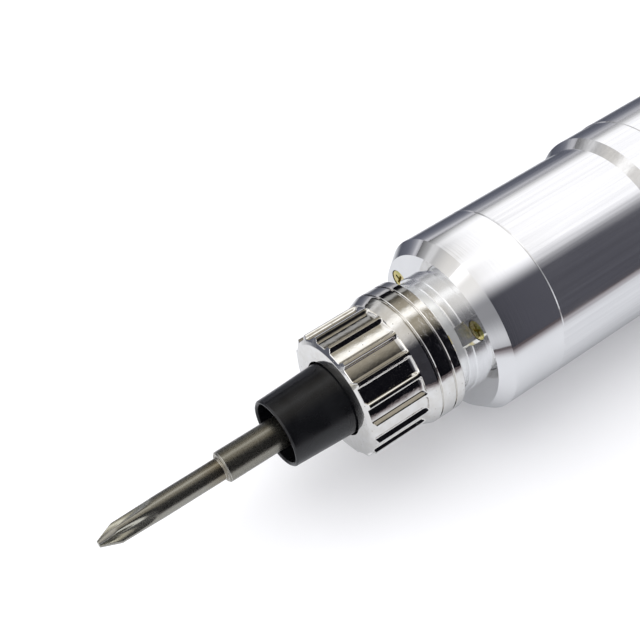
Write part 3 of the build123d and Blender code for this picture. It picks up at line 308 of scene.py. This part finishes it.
class Finish:
    """A material whose patterns are in millimetres of the part's own frame."""

    def __init__(self, name, metallic=0.0):
        self.material = bpy.data.materials.new(name)
        self.material.use_nodes = True
        self.tree = self.material.node_tree
        self.shader = self.tree.nodes["Principled BSDF"]
        self.shader.inputs["Metallic"].default_value = metallic
        self.place = add_node(self.tree, "TexCoord").outputs["Object"]

    def stretched(self, along=1.0, across=1.0):
        """Coordinates in millimetres, stretched along or across the tool's axis."""
        mapping = add_node(self.tree, "Mapping", Vector=self.place)
        mapping.inputs["Scale"].default_value = (along / MM, across / MM, across / MM)
        return mapping.outputs[0]

    def noise(self, per_mm, detail, along=1.0, across=1.0):
        where = self.stretched(along, across)
        return add_node(self.tree, "TexNoise", Vector=where, Scale=per_mm, Detail=detail).outputs[0]

    def specks(self, per_mm, full, edge):
        """1 within the distance full of scattered points, and 0 from the distance edge on."""
        cells = add_node(self.tree, "TexVoronoi", Vector=self.stretched(), Scale=per_mm)
        return span_node(self.tree, cells.outputs["Distance"], full, edge, 1, 0)

    def station(self, start, end):
        """0 before a station and 1 after it."""
        split = add_node(self.tree, "SeparateXYZ", Vector=self.place)
        return span_node(self.tree, split.outputs["X"], TIP_X + start * MM, TIP_X + end * MM)

    def part_of(self, value, share):
        return math_node(self.tree, "MULTIPLY", value, share)

    def colour(self, value, *stops):
        self.paint = colour_ramp(self.tree, value, stops)
        self.tree.links.new(self.paint, self.shader.inputs["Base Color"])
        return self

    def over(self, value, colour):
        """Lays another colour over the paint where value is 1."""
        self.paint = mix_colours(self.tree, value, self.paint, colour)
        self.tree.links.new(self.paint, self.shader.inputs["Base Color"])
        return self

    def painted_edge_highlight(self, width_mm, colour):
        """Rounds the edges for the light and paints a highlight along them in a brighter colour. Comes before
        any bump.
        """
        rounded = add_node(self.tree, "Bevel", {"samples": BEVEL_SAMPLES}, Radius=width_mm * MM).outputs[0]
        turned = self.tree.nodes.new("ShaderNodeVectorMath")
        turned.operation = "DOT_PRODUCT"
        self.tree.links.new(rounded, turned.inputs[0])
        self.tree.links.new(add_node(self.tree, "NewGeometry").outputs["Normal"], turned.inputs[1])
        self.tree.links.new(rounded, self.shader.inputs["Normal"])
        return self.over(span_node(self.tree, turned.outputs["Value"], *EDGE_TURN), colour)

    def rough(self, value, low, high):
        roughness = span_node(self.tree, value, *NOISE_SPAN, low, high)
        self.tree.links.new(roughness, self.shader.inputs["Roughness"])
        return self

    def bump(self, height, depth_mm):
        made = add_node(self.tree, "Bump", Height=height, Strength=1.0, Distance=depth_mm * MM)
        old = self.shader.inputs["Normal"].links
        if old:
            self.tree.links.new(old[0].from_socket, made.inputs["Normal"])
        self.tree.links.new(made.outputs[0], self.shader.inputs["Normal"])
        return self


def polished_aluminium():
    """Buffed tube with faint lines from the lathe and a thin haze from handling."""
    made = Finish("polished_aluminium", metallic=1.0)
    lines = made.noise(per_mm=7, detail=3, across=0.02)
    haze = made.noise(per_mm=0.11, detail=3)
    made.colour(haze, (0.3, (0.9, 0.9, 0.905)), (0.7, (0.95, 0.95, 0.955)))
    return made.rough(haze, 0.05, 0.09).bump(lines, depth_mm=0.002)


def brushed_aluminium():
    """Tube brushed along its length, a little duller than the turned ends."""
    made = Finish("brushed_aluminium", metallic=1.0)
    strokes = made.noise(per_mm=1.6, detail=4, along=0.02)
    waves = made.noise(per_mm=0.45, detail=2, along=0.03)
    haze = made.noise(per_mm=0.08, detail=3)
    made.colour(strokes, (0.3, (0.82, 0.82, 0.83)), (0.7, (0.94, 0.94, 0.945)))
    return made.rough(haze, 0.1, 0.16).bump(strokes, depth_mm=0.005).bump(waves, depth_mm=0.04)


def blasted_aluminium():
    """Neck left pale and matte from blasting."""
    made = Finish("blasted_aluminium", metallic=0.65)
    grain = made.noise(per_mm=3, detail=3)
    tone = made.noise(per_mm=0.3, detail=3)
    made.colour(tone, (0.3, (0.9, 0.91, 0.91)), (0.7, (0.97, 0.98, 0.98)))
    return made.rough(tone, 0.16, 0.3).bump(grain, depth_mm=0.006)


def turned_aluminium():
    """Turned flange, satin from the fine marks of the tool."""
    made = Finish("turned_aluminium", metallic=0.9)
    marks = made.noise(per_mm=9, detail=3, across=0.02)
    tone = made.noise(per_mm=0.3, detail=3)
    made.colour(tone, (0.3, (0.93, 0.935, 0.94)), (0.7, (0.97, 0.975, 0.98)))
    return made.rough(tone, 0.14, 0.24).bump(marks, depth_mm=0.003)


def ring_chrome():
    """Plated casting: mirror bright, slightly wavy, with tiny pits."""
    made = Finish("ring_chrome", metallic=1.0)
    waves = made.noise(per_mm=0.9, detail=2)
    pits = made.specks(per_mm=1.1, full=0.06, edge=0.1)
    made.colour(waves, (0.3, (0.84, 0.82, 0.78)), (0.7, (0.93, 0.92, 0.9))).over(pits, (0.3, 0.27, 0.2))
    return made.rough(waves, 0.03, 0.06).bump(waves, depth_mm=0.02).bump(pits, depth_mm=-0.01)


# The bit's blade: a cone at the tip, a slow taper behind it, and a step up to the shank
TIP_R = 0.5
TIP_CONE_R = 1.65
TIP_LENGTH = 3.0
BLADE_R = 1.75
BLADE_TAPER = 7.2
BLADE_LENGTH = 20.4
TAPER_END = TIP_LENGTH + BLADE_TAPER
BLADE_FADE = (20.6, 20.2)
BLADE_PALE = 0.22
HEAT_FADE = (16.5, 19.8)
HEAT_TINT = 0.55
WALL_DEPTH = (0.03, 0.08)
EDGE_HIGHLIGHT_WIDTH = 0.16


def flute_walls(made):
    """1 on the milled walls of the bit's flutes, which lie below the blade's turned surface."""
    tree = made.tree
    place = add_node(tree, "SeparateXYZ", Vector=made.place).outputs
    _, radius = round_place(tree, place)
    cone_end = TIP_X + TIP_LENGTH * MM
    taper_end = TIP_X + TAPER_END * MM
    cone = span_node(tree, place["X"], TIP_X, cone_end, TIP_R * MM, TIP_CONE_R * MM)
    taper = span_node(tree, place["X"], cone_end, taper_end, 0, (BLADE_R - TIP_CONE_R) * MM)
    below = math_node(tree, "SUBTRACT", math_node(tree, "ADD", cone, taper), radius)
    return span_node(tree, below, *(depth * MM for depth in WALL_DEPTH))


def bit_steel():
    """Satin tool steel, fine and warm, paler on the blade and tinted by heat at the step."""
    made = Finish("bit_steel", metallic=1.0)
    grain = made.noise(per_mm=7, detail=4)
    lines = made.noise(per_mm=6, detail=3, along=0.05)
    made.colour(grain, (0.25, (0.25, 0.24, 0.205)), (0.75, (0.37, 0.355, 0.31)))
    blade = made.station(*BLADE_FADE)
    heated = made.part_of(made.station(*HEAT_FADE), blade)
    made.over(made.part_of(blade, BLADE_PALE), (0.62, 0.605, 0.55))
    made.over(made.part_of(heated, HEAT_TINT), (0.2, 0.155, 0.08))
    made.over(flute_walls(made), (0.66, 0.65, 0.56))
    # Painted highlight: a near-white colour along the bit's rounded edges.
    made.painted_edge_highlight(EDGE_HIGHLIGHT_WIDTH, (1, 0.99, 0.96))
    return made.rough(grain, 0.22, 0.34).bump(grain, depth_mm=0.008).bump(lines, depth_mm=0.004)


def black_oxide():
    """Satin blue-black sleeve."""
    made = Finish("black_oxide")
    grain = made.noise(per_mm=3.5, detail=4)
    wear = made.noise(per_mm=0.22, detail=3)
    made.colour(wear, (0.3, (0.003, 0.0032, 0.0042)), (0.75, (0.007, 0.0075, 0.009)))
    made.shader.inputs["Specular IOR Level"].default_value = 0.45
    return made.rough(wear, 0.2, 0.32).bump(grain, depth_mm=0.006)


def yellow_zinc():
    """Zinc plate with a green and gold sheen that changes over each head."""
    made = Finish("yellow_zinc", metallic=1.0)
    sheen = made.noise(per_mm=0.8, detail=3)
    grain = made.noise(per_mm=9, detail=2)
    made.colour(sheen, (0.32, (0.42, 0.44, 0.12)), (0.5, (0.72, 0.62, 0.24)), (0.68, (0.78, 0.66, 0.4)))
    return made.rough(sheen, 0.18, 0.32).bump(grain, depth_mm=0.003)


def ground_steel():
    """Steel ground round its axis."""
    made = Finish("ground_steel", metallic=1.0)
    lines = made.noise(per_mm=8, detail=3, across=0.03)
    tone = made.noise(per_mm=0.35, detail=3)
    made.colour(tone, (0.3, (0.5, 0.5, 0.5)), (0.7, (0.64, 0.635, 0.63)))
    return made.rough(lines, 0.16, 0.28).bump(lines, depth_mm=0.003)


def spring_wire():
    """Drawn grey wire with fine marks."""
    made = Finish("spring_wire", metallic=1.0)
    marks = made.noise(per_mm=5, detail=4)
    tone = made.noise(per_mm=0.5, detail=3)
    made.colour(tone, (0.3, (0.4, 0.4, 0.41)), (0.7, (0.56, 0.56, 0.57)))
    return made.rough(marks, 0.18, 0.3).bump(marks, depth_mm=0.004)


def sintered_bronze():
    """Pressed bronze with open pores."""
    made = Finish("sintered_bronze", metallic=1.0)
    pores = made.specks(per_mm=2.6, full=0.1, edge=0.2)
    tone = made.noise(per_mm=0.6, detail=3)
    made.colour(tone, (0.3, (0.56, 0.36, 0.15)), (0.7, (0.7, 0.48, 0.23))).over(pores, (0.16, 0.1, 0.05))
    return made.rough(tone, 0.28, 0.42).bump(pores, depth_mm=-0.02)


def enamelled_copper():
    """Wound wire under a clear enamel."""
    made = Finish("enamelled_copper", metallic=1.0)
    turns = made.noise(per_mm=3, detail=2, along=0.05)
    tone = made.noise(per_mm=0.4, detail=3)
    made.colour(tone, (0.3, (0.58, 0.23, 0.1)), (0.7, (0.76, 0.36, 0.17)))
    made.shader.inputs["Coat Weight"].default_value = 0.6
    return made.rough(tone, 0.24, 0.36).bump(turns, depth_mm=0.05)


def stacked_sheets():
    """Edges of thin electrical sheets, one behind the other along the axis."""
    made = Finish("stacked_sheets", metallic=1.0)
    edges = made.noise(per_mm=2.8, detail=1, across=0.01)
    made.colour(edges, (0.35, (0.22, 0.22, 0.23)), (0.6, (0.46, 0.46, 0.47)))
    return made.rough(edges, 0.35, 0.5).bump(edges, depth_mm=0.02)


GRAIN_GAIN = 2.2


def pressed_powder(name, dark, light, rough_low, rough_high):
    """Matte pressed powder with small lighter grains."""
    made = Finish(name)
    grain = made.noise(per_mm=5, detail=4)
    grains = made.specks(per_mm=3.2, full=0.08, edge=0.16)
    made.colour(grain, (0.3, dark), (0.7, light)).over(grains, tuple(GRAIN_GAIN * part for part in light))
    return made.rough(grain, rough_low, rough_high).bump(grain, depth_mm=0.02)


def moulded(name, dark, light):
    """Moulded plastic with a fine spark grain."""
    made = Finish(name)
    grain = made.noise(per_mm=4, detail=3)
    tone = made.noise(per_mm=0.15, detail=2)
    made.colour(tone, (0.3, dark), (0.7, light))
    return made.rough(grain, 0.38, 0.55).bump(grain, depth_mm=0.03)


WEAVE_PER_MM = 1.6
COPPER_EDGE = (0.5, 0.53)


def printed_board():
    """Green lacquer over a glass weave, with lighter copper areas below it."""
    made = Finish("printed_board")
    weave = add_node(made.tree, "TexBrick", Vector=made.stretched(), Scale=WEAVE_PER_MM)
    areas = span_node(made.tree, made.noise(per_mm=0.35, detail=1), *COPPER_EDGE)
    tone = made.noise(per_mm=0.5, detail=2)
    made.colour(tone, (0.3, (0.012, 0.09, 0.035)), (0.7, (0.018, 0.12, 0.05)))
    made.over(areas, (0.035, 0.2, 0.085))
    gloss = made.noise(per_mm=1.5, detail=2)
    return made.rough(gloss, 0.25, 0.38).bump(weave.outputs["Fac"], depth_mm=0.01)


LOOK = {
    "bit_steel": bit_steel(),
    "black_steel": black_oxide(),
    "ring_chrome": ring_chrome(),
    "bare_aluminium": polished_aluminium(),
    "zinc_yellow": yellow_zinc(),
    "steel": ground_steel(),
    "spring_steel": spring_wire(),
    "bronze": sintered_bronze(),
    "copper": enamelled_copper(),
    "lamination": stacked_sheets(),
    "ferrite": pressed_powder("ferrite", (0.03, 0.03, 0.032), (0.05, 0.05, 0.052), 0.45, 0.62),
    "carbon": pressed_powder("carbon", (0.014, 0.014, 0.015), (0.028, 0.028, 0.03), 0.35, 0.55),
    "black_plastic": moulded("black_plastic", (0.012, 0.012, 0.013), (0.02, 0.02, 0.021)),
    "grey_plastic": moulded("grey_plastic", (0.2, 0.2, 0.205), (0.27, 0.27, 0.275)),
    "board_green": printed_board(),
}


# Pieces made here


SHARP_DEGREES = 32
SAME_POINT = 0.0001
LEAST_GRIP = 0.001


def station_of(x):
    return (x - TIP_X) / MM


def turned_mesh(name, outline, segments):
    """Closed outline of (station, radius), turned about the tool's axis."""
    points = []
    faces = []
    count = len(outline)
    for k in range(segments):
        angle = 2 * math.pi * k / segments
        here = k * count
        there = (k + 1) % segments * count
        for i, (station, radius) in enumerate(outline):
            across = radius * MM * math.cos(angle)
            points.append((TIP_X + station * MM, across, AXIS_Z + radius * MM * math.sin(angle)))
            j = (i + 1) % count
            if radius or outline[j][1]:
                faces.append((here + i, there + i, there + j, here + j))
    mesh = bpy.data.meshes.new(name)
    mesh.from_pydata(points, [], faces)
    return mesh


def shade(mesh, sharp_degrees):
    mesh.polygons.foreach_set("use_smooth", [True] * len(mesh.polygons))
    mesh.set_sharp_from_angle(angle=math.radians(sharp_degrees))


def node_tree(name, sizes):
    """Empty Geometry Nodes tree with a geometry in and out and one named input for each size."""
    tree = bpy.data.node_groups.new(name, "GeometryNodeTree")
    tree.interface.new_socket("Geometry", in_out="INPUT", socket_type="NodeSocketGeometry")
    tree.interface.new_socket("Geometry", in_out="OUTPUT", socket_type="NodeSocketGeometry")
    for size in sizes:
        tree.interface.new_socket(size, in_out="INPUT", socket_type="NodeSocketFloat")
    return tree, tree.nodes.new("NodeGroupInput").outputs, tree.nodes.new("NodeGroupOutput")


def close_tree(tree, geometry, out, material):
    """Ends a tree with plain geometry in one material."""
    real = tree.nodes.new("GeometryNodeRealizeInstances")
    paint = tree.nodes.new("GeometryNodeSetMaterial")
    paint.inputs["Material"].default_value = material
    tree.links.new(geometry, real.inputs[0])
    tree.links.new(real.outputs[0], paint.inputs["Geometry"])
    tree.links.new(paint.outputs[0], out.inputs[0])


def run_tree(obj, tree, sizes):
    """Runs a tree on an object and keeps its result as plain mesh."""
    modifier = obj.modifiers.new(tree.name, "NODES")
    modifier.node_group = tree
    for socket in tree.interface.items_tree:
        if socket.in_out == "INPUT" and socket.name in sizes:
            modifier[socket.identifier] = sizes[socket.name]
    graph = bpy.context.evaluated_depsgraph_get()
    mesh = bpy.data.meshes.new_from_object(obj.evaluated_get(graph))
    obj.modifiers.remove(modifier)
    blank = obj.data
    obj.data = mesh
    bpy.data.meshes.remove(blank)
    shade(mesh, SHARP_DEGREES)


def flute_tree(material):
    """Presses flutes into a turned blank, as deep as its attribute grip says, with ribs between them."""
    names = ("Flutes", "Depth", "Grip radius", "Rib top", "Rib foot", "First flute")
    tree, given, out = node_tree("pressed_flutes", names)
    here = tree.nodes.new("GeometryNodeInputPosition").outputs[0]
    place = add_node(tree, "SeparateXYZ", Vector=here).outputs
    up, radius = round_place(tree, place)
    turn = math_node(tree, "ARCTAN2", up, place["Y"])
    turns = math_node(tree, "DIVIDE", math_node(tree, "SUBTRACT", turn, given["First flute"]), 2 * math.pi)
    pitches = math_node(tree, "MULTIPLY", turns, given["Flutes"])
    from_flute = math_node(tree, "SUBTRACT", pitches, math_node(tree, "ROUND", pitches))
    from_flute = math_node(tree, "ABSOLUTE", from_flute)
    girth = math_node(tree, "MULTIPLY", given["Grip radius"], 2 * math.pi)
    pitch = math_node(tree, "DIVIDE", girth, given["Flutes"])
    from_rib = math_node(tree, "MULTIPLY", math_node(tree, "SUBTRACT", 0.5, from_flute), pitch)
    valley = soft_step(tree, from_rib, given["Rib top"], given["Rib foot"])
    attribute = tree.nodes.new("GeometryNodeInputNamedAttribute")
    attribute.inputs["Name"].default_value = "grip"
    grip = attribute.outputs[0]
    cut = math_node(tree, "MULTIPLY", math_node(tree, "MULTIPLY", valley, grip), given["Depth"])
    wanted = math_node(tree, "MINIMUM", radius, math_node(tree, "SUBTRACT", given["Grip radius"], cut))
    across = math_node(tree, "MULTIPLY", wanted, math_node(tree, "COSINE", turn))
    height = math_node(tree, "MULTIPLY", wanted, math_node(tree, "SINE", turn))
    height = math_node(tree, "ADD", height, AXIS_Z)
    move = tree.nodes.new("GeometryNodeSetPosition")
    tree.links.new(given["Geometry"], move.inputs["Geometry"])
    tree.links.new(math_node(tree, "GREATER_THAN", grip, LEAST_GRIP), move.inputs["Selection"])
    pressed = add_node(tree, "CombineXYZ", X=place["X"], Y=across, Z=height)
    tree.links.new(pressed.outputs[0], move.inputs["Position"])
    poles = tree.nodes.new("GeometryNodeMergeByDistance")
    poles.inputs["Distance"].default_value = SAME_POINT * MM
    tree.links.new(move.outputs[0], poles.inputs["Geometry"])
    close_tree(tree, poles.outputs[0], out, material)
    return tree


def flute_sizes(count, depth, radius, rib_top, rib_foot, first_degrees):
    """Inputs of the flute tree. The rib's top and foot are distances round the grip from the rib's middle."""
    return {
        "Flutes": count, "Depth": depth * MM, "Grip radius": radius * MM,
        "Rib top": rib_top * MM, "Rib foot": rib_foot * MM, "First flute": math.radians(first_degrees),
    }


def fluted_piece(name, rows, segments, sizes, material):
    """Turns an outline of (station, radius, share of the flute's depth) and presses the flutes into it."""
    mesh = turned_mesh(name, [row[:2] for row in rows], segments)
    grip = mesh.attributes.new("grip", "FLOAT", "POINT")
    grip.data.foreach_set("value", [row[2] for row in rows] * segments)
    obj = add_object(name, mesh)
    run_tree(obj, flute_tree(material), sizes)
    return obj


BIT_FLUTES = 4
BIT_FLUTE_PLACE = 142.0
BIT_FLUTE_LENGTH = 9.6
BIT_FLUTE_ROWS = 64
BIT_FLUTE_SEGMENTS = 64
BIT_ROOT_R = 0.3
WING_TOP = 0.1
WING_FOOT = 1.25
SHANK_R = 2.5
SHANK_EDGE = 0.25
BIT_GROOVE_R = 1.88
BIT_GROOVE_HALF = 1.05
BIT_SEAT = 46.0
BIT_TANG_FLAT = 0.9


def bit_outline(length):
    """Turned blank of the bit as (station, radius, share of the flute's depth)."""
    rows = [(0, 0, 0)]
    for k in range(BIT_FLUTE_ROWS + 1):
        station = BIT_FLUTE_LENGTH * k / BIT_FLUTE_ROWS
        cone = TIP_R + (TIP_CONE_R - TIP_R) * min(station / TIP_LENGTH, 1)
        taper = (BLADE_R - TIP_CONE_R) * min(max(station - TIP_LENGTH, 0) / BLADE_TAPER, 1)
        rows.append((station, cone + taper, 1 - k / BIT_FLUTE_ROWS))
    groove = station_of(sum(corner[0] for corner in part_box("lock_balls")) / 2)
    front, rear = groove - BIT_GROOVE_HALF, groove + BIT_GROOVE_HALF
    plain = (
        (TAPER_END, BLADE_R),
        (BLADE_LENGTH - SHANK_EDGE, BLADE_R),
        (BLADE_LENGTH, BLADE_R + SHANK_EDGE),
        (BLADE_LENGTH, SHANK_R - SHANK_EDGE),
        (BLADE_LENGTH + SHANK_EDGE, SHANK_R),
        (front, SHANK_R), (front, BIT_GROOVE_R), (rear, BIT_GROOVE_R), (rear, SHANK_R),
        (length, SHANK_R), (length, 0),
    )
    return rows + [(station, radius, 0) for station, radius in plain]


def dress_bit():
    """Cross-point bit with scooped flutes between thin wings, and a flat on its tang."""
    length = station_of(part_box("screwdriver_bit")[1][0])
    depth = BLADE_R - BIT_ROOT_R
    sizes = flute_sizes(BIT_FLUTES, depth, BLADE_R, WING_TOP, WING_FOOT, BIT_FLUTE_PLACE)
    segments = BIT_FLUTES * BIT_FLUTE_SEGMENTS
    obj = fluted_piece("cross_bit", bit_outline(length), segments, sizes, LOOK["bit_steel"].material)
    for point in obj.data.vertices:
        if point.co.x > TIP_X + BIT_SEAT * MM:
            point.co.z = min(point.co.z, AXIS_Z + BIT_TANG_FLAT * MM)
    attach(obj, "spindle")
    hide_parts("screwdriver_bit")


RING_LOW, RING_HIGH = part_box("torque_ring")
RING_FRONT = station_of(RING_LOW[0])
RING_REAR = station_of(RING_HIGH[0])
RING_SKIRT_R = (RING_HIGH[1] - RING_LOW[1]) / 2 / MM
RING_SKIRT_STEP = 0.7
RING_GRIP_R = RING_SKIRT_R - RING_SKIRT_STEP
RING_CHAMFER = 0.7
RING_CHAMFER_RISE = 1.4
RING_FACE_R = RING_GRIP_R - RING_CHAMFER_RISE
RING_CHAMFER_ROWS = 8
RING_MOUTH_R = 6.4
RING_BORE_R = 9.55
RING_SHOULDER = 8.2
RING_EDGE = 0.3
GRIP_LENGTH = 10.1
GRIP_RUN_OUT = 0.9
RUN_OUT_ROWS = 10
CONE_LENGTH = 1.8
CONE_SHARES = (0.04, 0.5, 0.96, 1)
SCALE_GROOVES = (12.3, 14.9)
GROOVE_HALF = 0.15
GROOVE_DEPTH = 0.45
GROOVE_EDGE = 0.09
FLUTES = 18
FLUTE_SEGMENTS = 32
FLUTE_DEPTH = 0.62
FLUTE_PLACE = 8.0
RIB_TOP = 0.2
RIB_FOOT = 0.74


def groove_outline(middle):
    """One groove of the skirt as (station, radius), with broken edges."""
    front, rear = middle - GROOVE_HALF, middle + GROOVE_HALF
    edge_r, floor_r = RING_SKIRT_R - GROOVE_EDGE, RING_SKIRT_R - GROOVE_DEPTH
    return [
        (front - GROOVE_EDGE, RING_SKIRT_R), (front, edge_r), (front, floor_r),
        (rear, floor_r), (rear, edge_r), (rear + GROOVE_EDGE, RING_SKIRT_R),
    ]


def ring_outline():
    """Turned blank of the ring as (station, radius, share of the flute's depth)."""
    rows = [(RING_FRONT, RING_FACE_R, 1)]
    for k in range(1, RING_CHAMFER_ROWS + 1):
        station = RING_FRONT + RING_CHAMFER * k / RING_CHAMFER_ROWS
        rows.append((station, RING_FACE_R + RING_CHAMFER_RISE * k / RING_CHAMFER_ROWS, 1))
    grip_rear = RING_FRONT + GRIP_LENGTH
    for k in range(RUN_OUT_ROWS + 1):
        share = k / RUN_OUT_ROWS
        rows.append((grip_rear - GRIP_RUN_OUT * (1 - share), RING_GRIP_R, math.sqrt(1 - share ** 2)))
    cone_rise = RING_SKIRT_R - RING_GRIP_R
    plain = [(grip_rear + CONE_LENGTH * share, RING_GRIP_R + cone_rise * share) for share in CONE_SHARES]
    for groove in SCALE_GROOVES:
        plain += groove_outline(RING_FRONT + groove)
    shoulder = RING_REAR - RING_SHOULDER
    plain += [
        (RING_REAR - RING_EDGE, RING_SKIRT_R), (RING_REAR, RING_SKIRT_R - RING_EDGE),
        (RING_REAR, RING_BORE_R), (shoulder, RING_BORE_R),
        (shoulder, RING_MOUTH_R), (RING_FRONT, RING_MOUTH_R),
    ]
    return rows + [(station, radius, 0) for station, radius in plain]


def dress_ring():
    """Torque ring with shallow flutes, rounded ribs and the two grooves of its skirt."""
    sizes = flute_sizes(FLUTES, FLUTE_DEPTH, RING_GRIP_R, RIB_TOP, RIB_FOOT, FLUTE_PLACE)
    segments = FLUTES * FLUTE_SEGMENTS
    obj = fluted_piece("fluted_ring", ring_outline(), segments, sizes, LOOK["ring_chrome"].material)
    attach(obj, "torque_ring")
    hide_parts("torque_ring")


FLANGE_R = 10.05
FLANGE_STEP_R = 9.6
FLANGE_STEP = 1.1
FLANGE_LENGTH = 2.3
FLANGE_CHAMFER = 0.15
FLANGE_BORE_R = 8.9
FLANGE_ROOT = 0.05
SCREWS = 3
FIRST_SCREW = 11.0
NOTCH_SEGMENTS = 240
NOTCH_DEPTH = 0.85
NOTCH_TOP = 2.05
NOTCH_FLOOR = 1.75
# The rear step's notches are a hair shallower, so that no two rows of the mesh fall together in them
STEP_SHARE = 0.95


def dress_neck(material):
    """Low flange at the root of the neck, in two steps, notched for the heads of the face screws."""
    face = station_of(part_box("front_cap")[0][0])
    front = face - FLANGE_LENGTH
    step = front + FLANGE_STEP
    rear = face + FLANGE_ROOT
    rows = [(front, FLANGE_BORE_R, 0)]
    for start, end, radius, share in ((front, step, FLANGE_STEP_R, 1), (step, rear, FLANGE_R, STEP_SHARE)):
        rows.append((start, radius - FLANGE_CHAMFER, share))
        rows.append((start + FLANGE_CHAMFER, radius, share))
        rows.append((end, radius, share))
    rows.append((rear, FLANGE_BORE_R, 0))
    half_pitch = math.pi * FLANGE_R / SCREWS
    top, foot = half_pitch - NOTCH_TOP, half_pitch - NOTCH_FLOOR
    sizes = flute_sizes(SCREWS, NOTCH_DEPTH, FLANGE_R, top, foot, FIRST_SCREW)
    obj = fluted_piece("neck_flange", rows, SCREWS * NOTCH_SEGMENTS, sizes, material)
    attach(obj, "housing")


THREAD_PITCH = 0.6
THREAD_RIDGE = 0.2
THREAD_SIDES = 4
THREAD_GAP = 0.2
THREAD_RUN_OUT = 0.55
THREAD_STEPS = 96


def thread_tree(material):
    """Helical ridge round the tool's axis."""
    tree, given, out = node_tree("thread_ridge", ("Radius", "Length", "Turns", "Ridge", "Start"))
    helix = tree.nodes.new("GeometryNodeCurveSpiral")
    helix.inputs["Resolution"].default_value = THREAD_STEPS
    tree.links.new(given["Turns"], helix.inputs["Rotations"])
    tree.links.new(given["Radius"], helix.inputs["Start Radius"])
    tree.links.new(given["Radius"], helix.inputs["End Radius"])
    tree.links.new(given["Length"], helix.inputs["Height"])
    ridge = tree.nodes.new("GeometryNodeCurvePrimitiveCircle")
    ridge.inputs["Resolution"].default_value = THREAD_SIDES
    tree.links.new(given["Ridge"], ridge.inputs["Radius"])
    sweep = tree.nodes.new("GeometryNodeCurveToMesh")
    sweep.inputs["Fill Caps"].default_value = True
    tree.links.new(helix.outputs[0], sweep.inputs["Curve"])
    tree.links.new(ridge.outputs[0], sweep.inputs["Profile Curve"])
    level = tree.nodes.new("GeometryNodeTransform")
    level.inputs["Rotation"].default_value = (0, math.pi / 2, 0)
    start = add_node(tree, "CombineXYZ", X=given["Start"], Z=AXIS_Z)
    tree.links.new(start.outputs[0], level.inputs["Translation"])
    tree.links.new(sweep.outputs[0], level.inputs["Geometry"])
    close_tree(tree, level.outputs[0], out, material)
    return tree


def dress_socket():
    """Thread of the cable socket, outside its nut."""
    low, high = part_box("power_socket")
    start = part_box("socket_nut")[1][0] + THREAD_GAP * MM
    length = high[0] - THREAD_RUN_OUT * MM - start
    sizes = {
        "Radius": (high[1] - low[1]) / 2, "Length": length, "Turns": length / MM / THREAD_PITCH,
        "Ridge": THREAD_RIDGE * MM, "Start": start,
    }
    obj = add_object("socket_thread", bpy.data.meshes.new("thread_start"))
    run_tree(obj, thread_tree(LOOK["steel"].material), sizes)
    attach(obj, "housing")


SPRING_SHARP_DEGREES = 40
SPRING_MERGE = 0.001


def dress_spring(node):
    """Coil spring: the CAD node's coils with their doubled points merged, in drawn grey wire."""
    shape = bmesh.new()
    shape.from_mesh(NODES[node].data)
    bmesh.ops.remove_doubles(shape, verts=shape.verts, dist=SPRING_MERGE * MM)
    mesh = bpy.data.meshes.new(node + "_coils")
    shape.to_mesh(mesh)
    shape.free()
    mesh.materials.clear()
    mesh.materials.append(LOOK["spring_steel"].material)
    shade(mesh, SPRING_SHARP_DEGREES)
    obj = add_object(mesh.name, mesh)
    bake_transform(obj)
    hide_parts(node)


# Finishes of the CAD nodes: by material slot, apart from the tubes and the neck
own_look = dict.fromkeys(("motor_tube", "joint_collar", "rear_housing"), brushed_aluminium())
own_look["nose_housing"] = blasted_aluminium()
for part in frame["record"]["subparts"]:
    look = own_look.get(part["node"], LOOK[part["material_slot"]])
    for slot in NODES[part["node"]].material_slots:
        slot.material = look.material

dress_bit()
dress_ring()
dress_neck(turned_aluminium().material)
dress_socket()
dress_spring("sleeve_spring")
dress_spring("torque_spring")
dress_spring("start_spring")
studio_world()
floor()
photo_camera()
key_light()
bpy.context.scene.view_settings.view_transform = "Standard"
